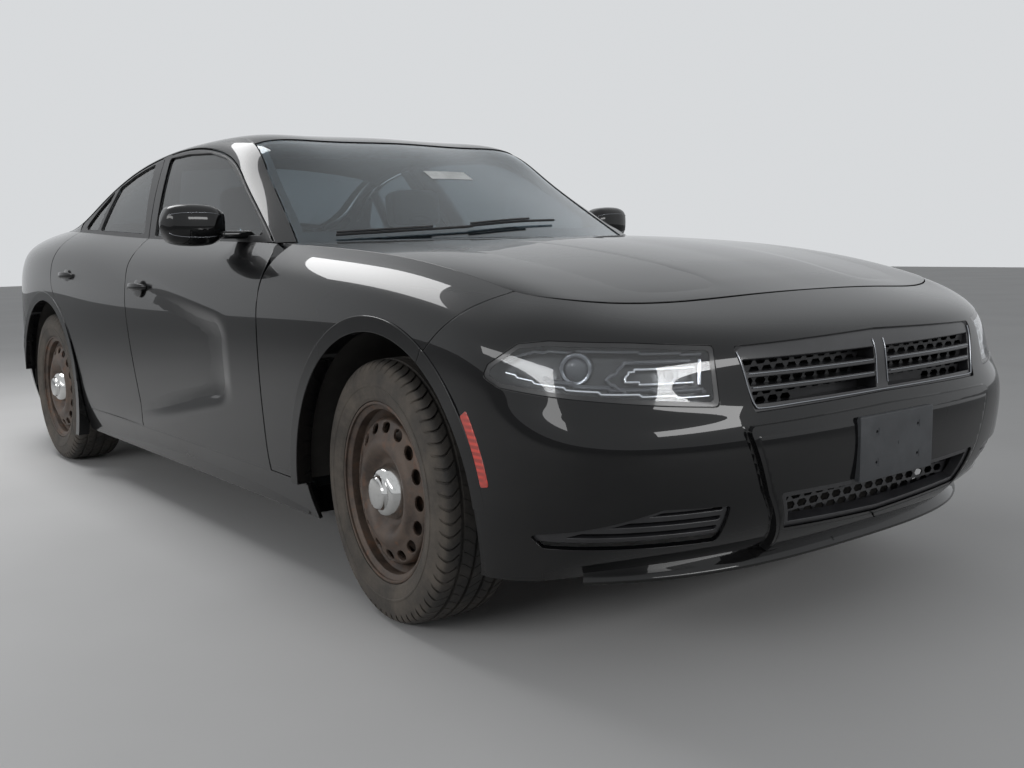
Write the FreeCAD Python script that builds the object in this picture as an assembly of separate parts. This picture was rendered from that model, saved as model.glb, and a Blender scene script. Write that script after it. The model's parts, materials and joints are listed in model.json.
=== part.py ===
import FreeCAD, Part
import math
import os

# Patrol saloon car. +X is forward, +Y is the car's left, +Z is up, in millimetres.
# The origin is on the ground, midway between the tips of the bumpers.

VEC = FreeCAD.Vector
LEFT, RIGHT = 1, -1

# Main sizes
WHEELBASE = 3052
FRONT_AXLE_X = 1580
REAR_AXLE_X = FRONT_AXLE_X - WHEELBASE
FRONT_TRACK = 1611
REAR_TRACK = 1620
PANEL_GAP = 6.5
SEAT_CLEARANCE = 0.3

# Wheels and tyres
TYRE_RADIUS = 361
TYRE_WIDTH = 225
TYRE_SIDE_BULGE = 4
TYRE_SHOULDER = 26
RIM_RADIUS = 246
RIM_SEAT_RADIUS = 231
RIM_WIDTH = 205
RIM_WALL = 7
DISC_THICKNESS = 6
DISC_FACE_OFFSET = 62
VENT_COUNT = 16
VENT_CIRCLE_RADIUS = 176
VENT_LENGTH = 46
VENT_WIDTH = 27
HUB_BORE_RADIUS = 35.8
BOLT_CIRCLE = 115
BOLT_COUNT = 5
BOLT_HOLE_RADIUS = 7.5
CAP_RADIUS = 62
CAP_HEIGHT = 58
REST_STEER = -5
KINGPIN_INSET = 60
STUB_RADIUS = 22
HUB_FLANGE_RADIUS = 74

# Panels
SKIN = 18
DOOR_FLANGE = 26
DOOR_DEPTH = 78
DOOR_REBATE = 62
FRAME_DEPTH = 34
FRAME_STEP = 2.5
FRAME_BELOW = 22
FRAME_FRONT_X = 712
FRAME_REAR_X = -1372
GLASS_THICKNESS = 5
GLASS_INSET = 10
HOOD_THICKNESS = 20
ROOF_THICKNESS = 22
FASCIA_THICKNESS = 9
ARCH_RADIUS = 438
REAR_ARCH_RADIUS = 425
ARCH_LIP_WIDTH = 42
ARCH_LIP_Y = 952
ARCH_RING_Y = 905
LINER_EDGE_Y = ARCH_RING_Y - SEAT_CLEARANCE

# Sills and door hinges
SILL_TOP_Z = 318
SILL_BOTTOM_Z = 205
DOOR_HINGE_Y = 918
DOOR_HINGE_SETBACK = 55

# Hollow in the front door
SCALLOP_FRONT_X = 676
SCALLOP_FADE_X = 250
SCALLOP_WALL = 95
SCALLOP_DEPTH = 15

# Shut lines of the doors, as (x, z) from the sill upwards
FRONT_SHUT = [(905, SILL_TOP_Z), (896, 560), (895, 780), (889, 930), (858, 990), (800, 1026), (765, 1060)]
MID_SHUT = [(-262, SILL_TOP_Z), (-274, 421), (-312, 610), (-345, 790), (-372, 990), (-404, 1062),
            (-500, 1250), (-590, 1440)]
REAR_SHUT = [(-993, SILL_TOP_Z), (-1000, 440), (-1030, 545), (-1090, 650), (-1200, 752), (-1300, 828),
             (-1340, 930), (-1354, 1032), (-1392, 1135)]


def mirrored(points):
    return [(x, -y, z) for x, y, z in points]


# Body side rails, each from the middle of the nose, round the left side, to the middle of the tail
TOP_RAIL = [
    (2292, 0, 888), (2286, 260, 884), (2262, 480, 872), (2205, 655, 874), (2140, 765, 890),
    (2035, 806, 902), (1890, 812, 940), (1560, 812, 994), (1100, 808, 1020), (600, 803, 1040),
    (0, 800, 1050), (-600, 800, 1070), (-1100, 800, 1096), (-1472, 782, 1112), (-1850, 704, 1118),
    (-2170, 656, 1112), (-2390, 580, 1098), (-2444, 330, 1094), (-2447, 0, 1094)]
SHOULDER_RAIL = [
    (2385, 0, 852), (2380, 270, 848), (2348, 520, 842), (2275, 720, 846), (2180, 842, 862),
    (2050, 884, 872), (1900, 896, 908), (1560, 902, 952), (1100, 893, 975), (600, 884, 990),
    (0, 880, 1000), (-600, 884, 1016), (-1100, 894, 1040), (-1472, 902, 1058), (-1850, 880, 1064),
    (-2190, 810, 1062), (-2430, 650, 1060), (-2479, 340, 1062), (-2483, 0, 1062)]
CREST_RAIL = [
    (2474, 0, 802), (2468, 280, 802), (2425, 560, 806), (2320, 775, 806), (2195, 890, 812),
    (2060, 936, 828), (1900, 946, 850), (1560, 948, 880), (1100, 938, 890), (600, 930, 895),
    (0, 930, 905), (-600, 936, 915), (-1100, 947, 930), (-1472, 951, 950), (-1850, 940, 960),
    (-2200, 866, 965), (-2449, 680, 968), (-2496, 350, 972), (-2498, 0, 972)]
UPPER_RAIL = [
    (2488, 0, 720), (2482, 285, 720), (2440, 580, 722), (2330, 800, 722), (2205, 910, 735),
    (2065, 949, 760), (1900, 950, 770), (1560, 950, 790), (1100, 944, 790), (600, 938, 780),
    (0, 940, 780), (-600, 946, 790), (-1100, 950, 800), (-1472, 953, 820), (-1850, 948, 830),
    (-2205, 880, 840), (-2453, 690, 850), (-2498, 355, 855), (-2502, 0, 855)]
LEDGE_RAIL = [
    (2492, 0, 640), (2488, 285, 640), (2452, 590, 640), (2345, 815, 642), (2220, 915, 655),
    (2068, 949, 680), (1900, 950, 690), (1560, 950, 700), (1100, 943, 690), (600, 936, 670),
    (0, 938, 665), (-600, 944, 675), (-1100, 949, 690), (-1472, 951, 710), (-1850, 948, 720),
    (-2210, 885, 730), (-2459, 700, 740), (-2507, 360, 742), (-2511, 0, 742)]
BUMPER_RAIL = [
    (2512, 0, 598), (2508, 285, 598), (2476, 600, 600), (2372, 826, 604), (2240, 918, 612),
    (2070, 948, 628), (1900, 949, 630), (1560, 948, 630), (1100, 940, 600), (600, 932, 560),
    (0, 934, 550), (-600, 940, 560), (-1100, 947, 590), (-1472, 950, 620), (-1850, 947, 640),
    (-2215, 888, 650), (-2470, 705, 655), (-2519, 365, 655), (-2523, 0, 655)]
FACE_RAIL = [
    (2516, 0, 480), (2512, 285, 480), (2476, 600, 482), (2370, 828, 484), (2235, 920, 490),
    (2070, 947, 500), (1900, 948, 500), (1560, 947, 490), (1100, 934, 460), (600, 924, 430),
    (0, 926, 425), (-600, 932, 430), (-1100, 942, 460), (-1472, 948, 490), (-1850, 945, 510),
    (-2210, 885, 520), (-2464, 700, 520), (-2514, 365, 520), (-2517, 0, 520)]
LOW_RAIL = [
    (2490, 0, 340), (2486, 280, 340), (2452, 585, 342), (2348, 812, 346), (2215, 912, 350),
    (2060, 940, 352), (1900, 942, 350), (1560, 940, 345), (1100, 926, 320), (600, 915, 300),
    (0, 917, 300), (-600, 922, 305), (-1100, 934, 320), (-1472, 940, 350), (-1850, 936, 370),
    (-2195, 875, 375), (-2444, 690, 375), (-2492, 360, 375), (-2495, 0, 375)]
FOOT_RAIL = [
    (2400, 0, 282), (2396, 280, 282), (2354, 540, 280), (2250, 738, 264), (2154, 856, 242),
    (2045, 915, 240), (1900, 915, 235), (1560, 912, 225), (1100, 892, 208), (600, 882, 203),
    (0, 884, 203), (-600, 890, 205), (-1100, 902, 210), (-1472, 910, 230), (-1850, 905, 250),
    (-2170, 845, 260), (-2400, 665, 262), (-2450, 345, 262), (-2454, 0, 262)]
SIDE_RAILS = [FOOT_RAIL, LOW_RAIL, FACE_RAIL, BUMPER_RAIL, LEDGE_RAIL, UPPER_RAIL,
              CREST_RAIL, SHOULDER_RAIL, TOP_RAIL]
TAIL_COLUMN = len(TOP_RAIL) - 1

# Roof rails, each from the foot of the windscreen to the boot lid
DOOR_LINE = [
    (775, 803, 1030), (608, 763, 1126), (352, 713, 1253), (191, 664, 1371), (-244, 639, 1438),
    (-664, 645, 1408), (-992, 663, 1350), (-1236, 723, 1239), (-1397, 790, 1113), (-1850, 704, 1118)]
GLASS_LINE = [
    (775, 772, 1029), (590, 714, 1164), (377, 669, 1320), (282, 621, 1473), (-157, 615, 1456),
    (-678, 627, 1432), (-985, 640, 1385), (-1250, 679, 1281), (-1518, 715, 1175), (-1840, 720, 1117)]
QUARTER_LINE = [
    (1010, 420, 1036), (790, 390, 1148), (520, 360, 1302), (220, 335, 1452), (-260, 320, 1476),
    (-650, 320, 1464), (-970, 330, 1425), (-1285, 360, 1324), (-1570, 390, 1200), (-1770, 410, 1122)]
CENTRE_LINE = [
    (1088, 0, 1042), (870, 0, 1150), (570, 0, 1308), (245, 0, 1472), (-260, 0, 1484),
    (-650, 0, 1472), (-965, 0, 1434), (-1290, 0, 1334), (-1590, 0, 1206), (-1750, 0, 1130)]
HEADER_X = 265
BACKLIGHT_TOP_X = -955

# Hood and boot lid
HOOD_CENTRE = [(1078, 1046), (1400, 1040), (1700, 1012), (1980, 968), (2160, 926), (2286, 889)]
DECK_CENTRE = [(-1762, 1124), (-1950, 1126), (-2200, 1130), (-2380, 1136), (-2440, 1128)]

# Side windows, as (x, z) outlines
WINDOW_BOW = 7
WINDOW_RISE = 330
WINDOW_CORNER = 16
FRONT_WINDOW = [(680, 1060), (560, 1130), (330, 1257), (118, 1354), (-60, 1388), (-290, 1401),
                (-500, 1399), (-345, 1072)]
REAR_WINDOW = [(-470, 1084), (-668, 1386), (-780, 1371), (-905, 1346), (-1030, 1308), (-1042, 1298), (-1052, 1108)]
QUARTER_WINDOW = [(-1092, 1110), (-1082, 1292), (-1130, 1266), (-1210, 1205), (-1302, 1118)]

# Side frames
FOOT_FRONT_X = -1320
FOOT_REAR_X = -1765
FOOT_OVERLAP = 12
PILLAR_DEPTH = 42
ROOF_SINK = 2
WINDSCREEN_V = 0.30

# Bumpers, nose and lamps
REAR_BUMPER_LINE = [(-1880, 250), (-1905, 560), (-1925, 690), (-2080, 775), (-2230, 800), (-2340, 861), (-2600, 861)]
FRONT_BUMPER_LINE = [(1925, 150), (1925, 560), (1834, 755), (2020, 905), (2036, 960)]
ARCH_X = FRONT_AXLE_X + 12
LAMP_ANGLE = 50
LAMP_OUTLINE = [(-1496, 787), (-1320, 800), (-1143, 807), (-1073, 800), (-1000, 752), (-986, 724),
                (-1030, 701), (-1180, 684), (-1342, 668), (-1514, 652)]
GRILLE_OUTLINE = [(-500, 782), (0, 795), (500, 782), (468, 632), (0, 638), (-468, 632)]
LOWER_GRILLE_OUTLINE = [(-414, 446), (0, 440), (414, 446), (366, 348), (0, 330), (-366, 348)]
SNOUT_OUTLINE = [(-512, 606), (0, 612), (512, 606), (450, 446), (340, 270), (0, 250), (-340, 270), (-450, 446)]
VENT_OUTLINE = [(540, 428), (700, 436), (905, 372), (880, 340), (540, 336)]
SNOUT_REACH = 16
GRILLE_DEPTH = 14
LAMP_DEPTH = 60
SIDE_PERIOD = 2.0 * TAIL_COLUMN
BAR_HEIGHTS = [757, 716, 684]
BAR_THICKNESS = 11
FRAME_WIDTH = 9
POST_HALF_WIDTH = 22
SCREEN_X = 2424
LOW_SCREEN_X = 2446
SCREEN_THICKNESS_X = 4

# Chin lip
LIP_REACH = 25
LIP_EDGE_Z = 253
LIP_TOP_Z = 316
LIP_EDGE_THICKNESS = 10
LIP_ROOT_THICKNESS = 44
LIP_ROOT_INSET = 16
LIP_HALF_U = 3.3

# Number plate bracket
PLATE_X = 2534
PLATE_WIDTH = 314
PLATE_HEIGHT = 160
PLATE_CENTRE_Z = 513
PLATE_HOLE_SPACING_Y = 178
PLATE_HOLE_SPACING_Z = 76
PLATE_HOLE_RADIUS = 4

# Hood and boot lid
HOOD_REAR_X = 812
HOOD_CORNER_X = 2028
COWL_WIDTH = 34
HOOD_CROWN = 12
HOOD_S = 0.991
HOOD_T_LOW = 0.006
HOOD_T_HIGH = 0.995
DECK_FRONT_X = -1790
DECK_REAR_X = -2425
DECK_SIDE = 0.985
LID_HALF_WIDTH = 470
LID_LOW_Z = 868
LAMP_LENS_THICKNESS = 26

# Windscreen and rear window
GLASS_GAP_U = 0.012
GLASS_GAP_V = 0.012
SCREEN_THICKNESS = 6

# Floor and cabin
CABIN_HALF_WIDTH = 740
FLOOR_Z = 225
FLOOR_THICKNESS = 16
TUNNEL_HALF_WIDTH = 130
TUNNEL_TOP = 400
FIREWALL_X = 1010
FLOOR_FRONT_X = 1070
FLOOR_REAR_X = -2380
REAR_RAIL_Y = 560
BOOT_HALF_WIDTH = 640
PILLAR_SPANS = [(-420, -300)]
STEERING_Y = 370
COLUMN_RADIUS = 26
COLUMN_LENGTH = 175
SEAT_Y = 370
SEAT_WIDTH = 450

# Engine, exhaust and axles
ENGINE_LOW = (1080, -235, 260)
ENGINE_HIGH = (1720, 235, 800)
EXHAUST_RADIUS = 28
TAIL_PIPE_RADIUS = 40
TAIL_PIPE_Y = 430
TAIL_PIPE_Z = 262
KINGPIN_Y = FRONT_TRACK / 2 - KINGPIN_INSET
KNUCKLE_LOW_Z = 226 + SEAT_CLEARANCE
KNUCKLE_TOP_Z = 650
UPRIGHT_Y = 650
LINER_THICKNESS = 5
FRONT_LINER_Y = 480
REAR_LINER_Y = 570

# Mirror sections, as (y, front x, rear x, low z, high z)
MIRROR_SECTIONS = [(858, 500, 410, 1048, 1150), (900, 520, 398, 1032, 1166), (980, 518, 396, 1030, 1170),
                   (1036, 500, 400, 1042, 1160), (1058, 478, 412, 1068, 1138)]

# Band of the tail lamps, as (y, z)
LAMP_BAND = [(-860, 868), (860, 868), (860, 985), (-860, 985)]


def bspline_row(count, degree):
    """Clamped uniform knots and multiplicities for so many poles."""
    knots = [float(i) for i in range(count - degree + 1)]
    mults = [degree + 1] + [1] * (len(knots) - 2) + [degree + 1]
    return knots, mults


def open_surface(rows, degree_u=3, degree_v=3):
    """Surface with clamped ends; rows run along u, their number along v."""
    columns = [[VEC(*row[i]) for row in rows] for i in range(len(rows[0]))]
    u_knots, u_mults = bspline_row(len(columns), degree_u)
    v_knots, v_mults = bspline_row(len(rows), degree_v)
    surface = Part.BSplineSurface()
    surface.buildFromPolesMultsKnots(columns, u_mults, v_mults, u_knots, v_knots,
                                     False, False, degree_u, degree_v)
    return surface


def ring_rows(rails, first_nose):
    """Each rail closed round the car, starting at the tail or at the nose."""
    rows = []
    for rail in rails:
        half = rail if first_nose else rail[::-1]
        rows.append(half + mirrored(half[-2:0:-1]))
    return rows


def ring_surface(rails, first_nose):
    """Closed surface round the car: u counts the rail points, v runs from foot to top."""
    rows = ring_rows(rails, first_nose)
    count = len(rows[0])
    columns = [[VEC(*row[i - 1]) for row in rows] for i in range(count)]
    v_knots, v_mults = bspline_row(len(rows), 3)
    surface = Part.BSplineSurface()
    surface.buildFromPolesMultsKnots(columns, [1] * (count + 1), v_mults,
                                     [float(i) for i in range(count + 1)], v_knots,
                                     True, False, 3, 3)
    return surface


def steps(low, high, count):
    return [low + (high - low) * i / (count - 1) for i in range(count)]


def outward(surface, u, v):
    """Unit normal that points away from the middle of the car."""
    normal = surface.normal(u, v)
    point = surface.value(u, v)
    centre = VEC(max(-1500, min(1500, point.x)), 0, 500)
    if normal.dot(point - centre) < 0:
        normal = normal * -1
    return normal


def surface_through(grid):
    surface = Part.BSplineSurface()
    surface.interpolate(grid)
    return surface


def solid_between(outer, inner):
    """Closed solid between two surfaces with matching borders."""
    faces = [outer.toShape(), inner.toShape()]
    u0, u1, v0, v1 = outer.bounds()
    a0, a1, b0, b1 = inner.bounds()
    borders = [(outer.uIso(u0), inner.uIso(a0)), (outer.uIso(u1), inner.uIso(a1)),
               (outer.vIso(v0), inner.vIso(b0)), (outer.vIso(v1), inner.vIso(b1))]
    for one, other in borders:
        faces.append(Part.makeRuledSurface(one.toShape(), other.toShape()))
    shell = Part.Shell(Part.makeShell(faces).Faces)
    shell.sewShape()
    solid = Part.makeSolid(Part.makeShell(shell.Faces))
    if solid.Volume < 0:
        solid.reverse()
    return solid


def greville(knots, mults, degree):
    """Parameter that belongs to each pole of a clamped curve."""
    full = [knot for knot, count in zip(knots, mults) for _ in range(count)]
    return [sum(full[i + 1:i + 1 + degree]) / degree for i in range(len(full) - degree - 1)]


def piece_of(surface, u_range, v_range, refine=1):
    """Part of a surface, with each span cut into so many."""
    piece = surface.copy()
    piece.segment(u_range[0], u_range[1], v_range[0], v_range[1])
    if refine > 1:
        for knots, insert in ((piece.getUKnots(), piece.insertUKnot), (piece.getVKnots(), piece.insertVKnot)):
            for low, high in zip(knots, knots[1:]):
                for i in range(1, refine):
                    insert(low + (high - low) * i / refine, 1, 1e-9)
    return piece


def moved_under(piece, depth, level=False, hollow=None):
    """The same surface this deep under itself, square to it or level across the car."""
    result = piece.copy()
    us = greville(piece.getUKnots(), piece.getUMultiplicities(), piece.UDegree)
    vs = greville(piece.getVKnots(), piece.getVMultiplicities(), piece.VDegree)
    for i, u in enumerate(us):
        for j, v in enumerate(vs):
            pole = piece.getPole(i + 1, j + 1)
            extra = hollow(pole.x, pole.z) if hollow else 0
            if level:
                pole = pole - VEC(0, depth + extra, 0)
            else:
                pole = pole - outward(piece, u, v) * (depth + extra)
            result.setPole(i + 1, j + 1, pole)
    return result


def panel(surface, u_range, v_range, top=0.0, thickness=SKIN, refine=1, level=False, hollow=None):
    """Solid panel whose outer face lies this far under the surface."""
    piece = piece_of(surface, u_range, v_range, refine)
    outer = moved_under(piece, top, level, hollow)
    inner = moved_under(piece, top + thickness, level, hollow)
    return solid_between(outer, inner)


def outline_face(points, radius=0.0):
    """Flat face from a closed outline, its corners rounded by one radius."""
    count = len(points)
    edges = []
    corners = []
    for i in range(count):
        before, here, after = VEC(*points[i - 1]), VEC(*points[i]), VEC(*points[(i + 1) % count])
        if radius <= 0:
            corners.append((here, here, here))
            continue
        back = (before - here)
        ahead = (after - here)
        turn = back.getAngle(ahead)
        reach = min(radius / math.tan(turn / 2), back.Length * 0.45, ahead.Length * 0.45)
        bend = reach * math.tan(turn / 2)
        start = here + back.normalize() * reach
        end = here + ahead.normalize() * reach
        middle_way = (start + end) * 0.5 - here
        to_centre = math.hypot(bend, reach)
        middle = here + middle_way.normalize() * (to_centre - bend)
        corners.append((start, middle, end))
    for i in range(count):
        start, middle, end = corners[i]
        if radius > 0 and (end - start).Length > 0.01:
            edges.append(Part.Arc(start, middle, end).toShape())
        following = corners[(i + 1) % count][0]
        if (following - end).Length > 0.01:
            edges.append(Part.LineSegment(end, following).toShape())
    return Part.Face(Part.Wire(edges))


def side_prism(outline, y_low, y_high, radius=0.0):
    """Prism across the car from an outline of (x, z) points."""
    face = outline_face([(x, y_low, z) for x, z in outline], radius)
    return face.extrude(VEC(0, y_high - y_low, 0))


def front_prism(outline, x_low, x_high, radius=0.0):
    """Prism along the car from an outline of (y, z) points."""
    face = outline_face([(x_low, y, z) for y, z in outline], radius)
    return face.extrude(VEC(x_high - x_low, 0, 0))


def plan_prism(outline, z_low, z_high, radius=0.0):
    """Upright prism from an outline of (x, y) points."""
    face = outline_face([(x, y, z_low) for x, y in outline], radius)
    return face.extrude(VEC(0, 0, z_high - z_low))


def box(low, high):
    return Part.makeBox(high[0] - low[0], high[1] - low[1], high[2] - low[2], VEC(*low))


def cylinder_y(x, z, radius, y_low, y_high):
    return Part.makeCylinder(radius, y_high - y_low, VEC(x, y_low, z), VEC(0, 1, 0))


def on_right(shape):
    return shape.mirror(VEC(0, 0, 0), VEC(0, 1, 0))


def on_side(shape, side):
    return shape if side == LEFT else on_right(shape)


def largest(shape):
    """The main solid of a cut, without slivers."""
    return max(shape.Solids, key=lambda solid: solid.Volume)


def save(name, shapes):
    if not isinstance(shapes, list):
        shapes = [shapes]
    solids = [solid for shape in shapes for solid in shape.Solids]
    whole = solids[0] if len(solids) == 1 else Part.makeCompound(solids)
    volume = sum(solid.Volume for solid in solids)
    valid = all(solid.isValid() for solid in solids)
    print(name, len(solids), "solids,", round(volume / 1e6, 2), "litres, valid", valid, flush=True)
    whole.exportStep(os.path.join("parts", name + ".step"))


# Master surfaces
SIDE = ring_surface(SIDE_RAILS, True)
REAR_RING = ring_surface(SIDE_RAILS, False)
V_TOP = float(len(SIDE_RAILS) - 3)
ROOF_ROWS = [DOOR_LINE, GLASS_LINE, QUARTER_LINE, CENTRE_LINE,
             mirrored(QUARTER_LINE), mirrored(GLASS_LINE), mirrored(DOOR_LINE)]
ROOF = open_surface(ROOF_ROWS)
ROOF_U = float(len(DOOR_LINE) - 3)
ROOF_V = float(len(ROOF_ROWS) - 3)


def at_x(function, x, low, high):
    """Parameter at which a curve that runs backwards along the car reaches x."""
    for _ in range(50):
        middle = (low + high) / 2
        if function(middle).x > x:
            low = middle
        else:
            high = middle
    return (low + high) / 2


def belt_point(x):
    u = at_x(lambda t: SIDE.value(t, V_TOP), x, 5.0, 16.0)
    return SIDE.value(u, V_TOP)


def door_line_point(x):
    u = at_x(lambda t: ROOF.value(t, 0.0), x, 0.0, ROOF_U)
    return ROOF.value(u, 0.0)


def window_side(x, w, depth=0.0):
    """Side of the cabin above the belt: w runs from the belt to the roof rail."""
    low = belt_point(x)
    high = door_line_point(x)
    rise = high - low
    normal = VEC(0, rise.z, -rise.y).normalize()
    bow = 4 * WINDOW_BOW * w * (1 - w) * min(1.0, rise.Length / WINDOW_RISE) if w > 0 else 0
    point = low + rise * w + normal * (bow - depth)
    return (x, point.y, point.z)


def spline_value(points, x):
    """Smooth curve through (x, value) points, which run in order of x."""
    pts = sorted(points)
    n = len(pts)
    slopes = []
    for i in range(n):
        lo, hi = max(0, i - 1), min(n - 1, i + 1)
        slopes.append((pts[hi][1] - pts[lo][1]) / (pts[hi][0] - pts[lo][0]))
    x = max(pts[0][0], min(pts[-1][0], x))
    i = max(j for j in range(n - 1) if pts[j][0] <= x)
    (x0, y0), (x1, y1) = pts[i], pts[i + 1]
    h = x1 - x0
    t = (x - x0) / h
    return (y0 * (1 + 2 * t) * (1 - t) ** 2 + slopes[i] * h * t * (1 - t) ** 2
            + y1 * t * t * (3 - 2 * t) + slopes[i + 1] * h * t * t * (t - 1))


def smooth(t):
    t = max(0.0, min(1.0, t))
    return t * t * (3 - 2 * t)


def scallop_depth(x, z):
    """Depth of the C-shaped hollow in the front door, which fades out rearwards."""
    upper = 800 + (SCALLOP_FRONT_X - x) * 0.17
    lower = 500 - (SCALLOP_FRONT_X - x) * 0.20
    across = smooth((upper - z) / SCALLOP_WALL) * smooth((z - lower) / SCALLOP_WALL)
    along = smooth((SCALLOP_FRONT_X - x) / (SCALLOP_WALL * 1.4))
    fade = 1 - smooth((SCALLOP_FADE_X - x) / 1300)
    return SCALLOP_DEPTH * across * along * fade


def window_panel(x_front, x_rear, below, gap, top, thickness, count_x=26):
    """Frame of a side window, from under the belt to just short of the roof rail."""
    surfaces = []
    for depth in (top, top + thickness):
        grid = []
        for x in steps(x_front, x_rear, count_x):
            rise = (door_line_point(x) - belt_point(x)).Length
            row = [VEC(*window_side(x, w, depth)) for w in steps(-below / rise, 1 - gap / rise, 6)]
            grid.append(row)
        surfaces.append(surface_through(grid))
    return solid_between(*surfaces)


def side_inward(x):
    """Direction square to the side windows, into the cabin."""
    x = max(FRAME_REAR_X + 30, min(FRAME_FRONT_X - 70, x))
    rise = door_line_point(x) - belt_point(x)
    return VEC(0, -rise.z, rise.y).normalize()


def roof_rail():
    """Left rail from the foot of the windscreen over the doors to the boot lid."""
    grids = [[], []]
    for u in steps(0, ROOF_U - 0.2, 44):
        rows = [[], []]
        for v in steps(0, WINDSCREEN_V, 6):
            share = v / WINDSCREEN_V
            square = outward(ROOF, u, v)
            point = ROOF.value(u, v) - square * ROOF_SINK
            inward = side_inward(ROOF.value(u, 0).x) * (1 - share) - square * share
            rows[0].append(point)
            rows[1].append(point + inward.normalize() * PILLAR_DEPTH)
        grids[0].append(rows[0])
        grids[1].append(rows[1])
    return solid_between(surface_through(grids[0]), surface_through(grids[1]))


def shifted(line, dx):
    return [(x + dx, z) for x, z in line]


def arch_cutter(x, radius):
    return cylinder_y(x, TYRE_RADIUS, radius, -1200, 1200)


def door_outline(front, rear):
    """Closed outline of a door between two shut lines, half the panel gap inside them."""
    ahead = shifted(front, -PANEL_GAP / 2)
    behind = shifted(rear, PANEL_GAP / 2)
    top = max(ahead[-1][1], behind[-1][1], 1500)
    low = SILL_TOP_Z + PANEL_GAP / 2
    ahead[0] = (ahead[0][0], low)
    behind[0] = (behind[0][0], low)
    return ahead + [(ahead[-1][0], top), (behind[-1][0], top)] + behind[::-1]


def inner_outline(front, rear, front_inset, rear_inset, low, top_inset):
    """Outline of the deep inner part of a door, up to the belt."""
    ahead = [(x - front_inset, z) for x, z in front if z < 980]
    behind = [(x + rear_inset, z) for x, z in rear if z < 980]
    ahead[0] = (ahead[0][0], low)
    behind[0] = (behind[0][0], low)
    corner_x = ahead[-1][0] - top_inset
    return ahead + [(corner_x, 985), (corner_x, 1140), (behind[-1][0] + 20, 1140)] + behind[::-1]


def make_door(front, rear, x_front, x_rear, u_range, windows, inset):
    """Left door: outer flange, deep inner part and window frame, with its windows cut."""
    v_range = (0.25, V_TOP)
    flange = panel(SIDE, u_range, v_range, 0, DOOR_FLANGE, 4, False, scallop_depth)
    deep = panel(SIDE, u_range, v_range, DOOR_FLANGE / 2, DOOR_DEPTH - DOOR_FLANGE / 2, 1, True, scallop_depth)
    outline = side_prism(door_outline(front, rear), 300, 1100)
    inner = side_prism(inner_outline(front, rear, *inset), 300, 1100)
    frame = window_panel(x_front, x_rear, FRAME_BELOW, PANEL_GAP, FRAME_STEP, FRAME_DEPTH)
    door = flange.fuse(frame).common(outline).fuse(deep.common(inner))
    for window in windows:
        door = door.cut(side_prism(window, 300, 1100, WINDOW_CORNER))
    return largest(door)


def make_pane(window, x_front, x_rear):
    """Side glass that fills its opening, a hair clear of the frame."""
    inset = GLASS_INSET
    sheet = window_panel(x_front, x_rear, 40, 0, inset, GLASS_THICKNESS, 14)
    opening = side_prism(shrunk(window, SEAT_CLEARANCE), 300, 1100, WINDOW_CORNER)
    return largest(sheet.common(opening))


def shrunk(outline, distance):
    """Outline moved inwards by a small distance, for a clearance."""
    wire = Part.makePolygon([VEC(x, 0, z) for x, z in outline + outline[:1]])
    smaller = wire.makeOffset2D(-distance, join=2)
    if Part.Face(smaller).Area > Part.Face(wire).Area:
        smaller = wire.makeOffset2D(distance, join=2)
    return [(vertex.X, vertex.Z) for vertex in smaller.OrderedVertexes]


def tyre_section():
    """Half section of the tyre as (radius, offset along the axle) points."""
    half = TYRE_WIDTH / 2
    flange = RIM_RADIUS + 2.5
    return [(flange, RIM_WIDTH / 2 - 8.5), (flange, RIM_WIDTH / 2 + 1), (RIM_RADIUS + 38, half + 1),
            (RIM_RADIUS + 66, half + TYRE_SIDE_BULGE), (TYRE_RADIUS - 32, half - 2),
            (TYRE_RADIUS - 12, half - 13), (TYRE_RADIUS - 4, half - TYRE_SHOULDER),
            (TYRE_RADIUS, half - 58)]


def make_tyre():
    """Tyre about the Y axis, its middle at the origin, seated in the rim."""
    outside = tyre_section()
    toe = (RIM_SEAT_RADIUS + 2, RIM_WIDTH / 2 - 14.8)
    return spin_y([toe] + outside + [(r, -a) for r, a in outside[::-1]] + [(toe[0], -toe[1])])


def spin_y(profile):
    """Solid turned about the Y axis from (radius, y) points."""
    points = [VEC(r, a, 0) for r, a in profile]
    face = Part.Face(Part.makePolygon(points + points[:1]))
    return face.revolve(VEC(0, 0, 0), VEC(0, 1, 0), 360)


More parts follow.
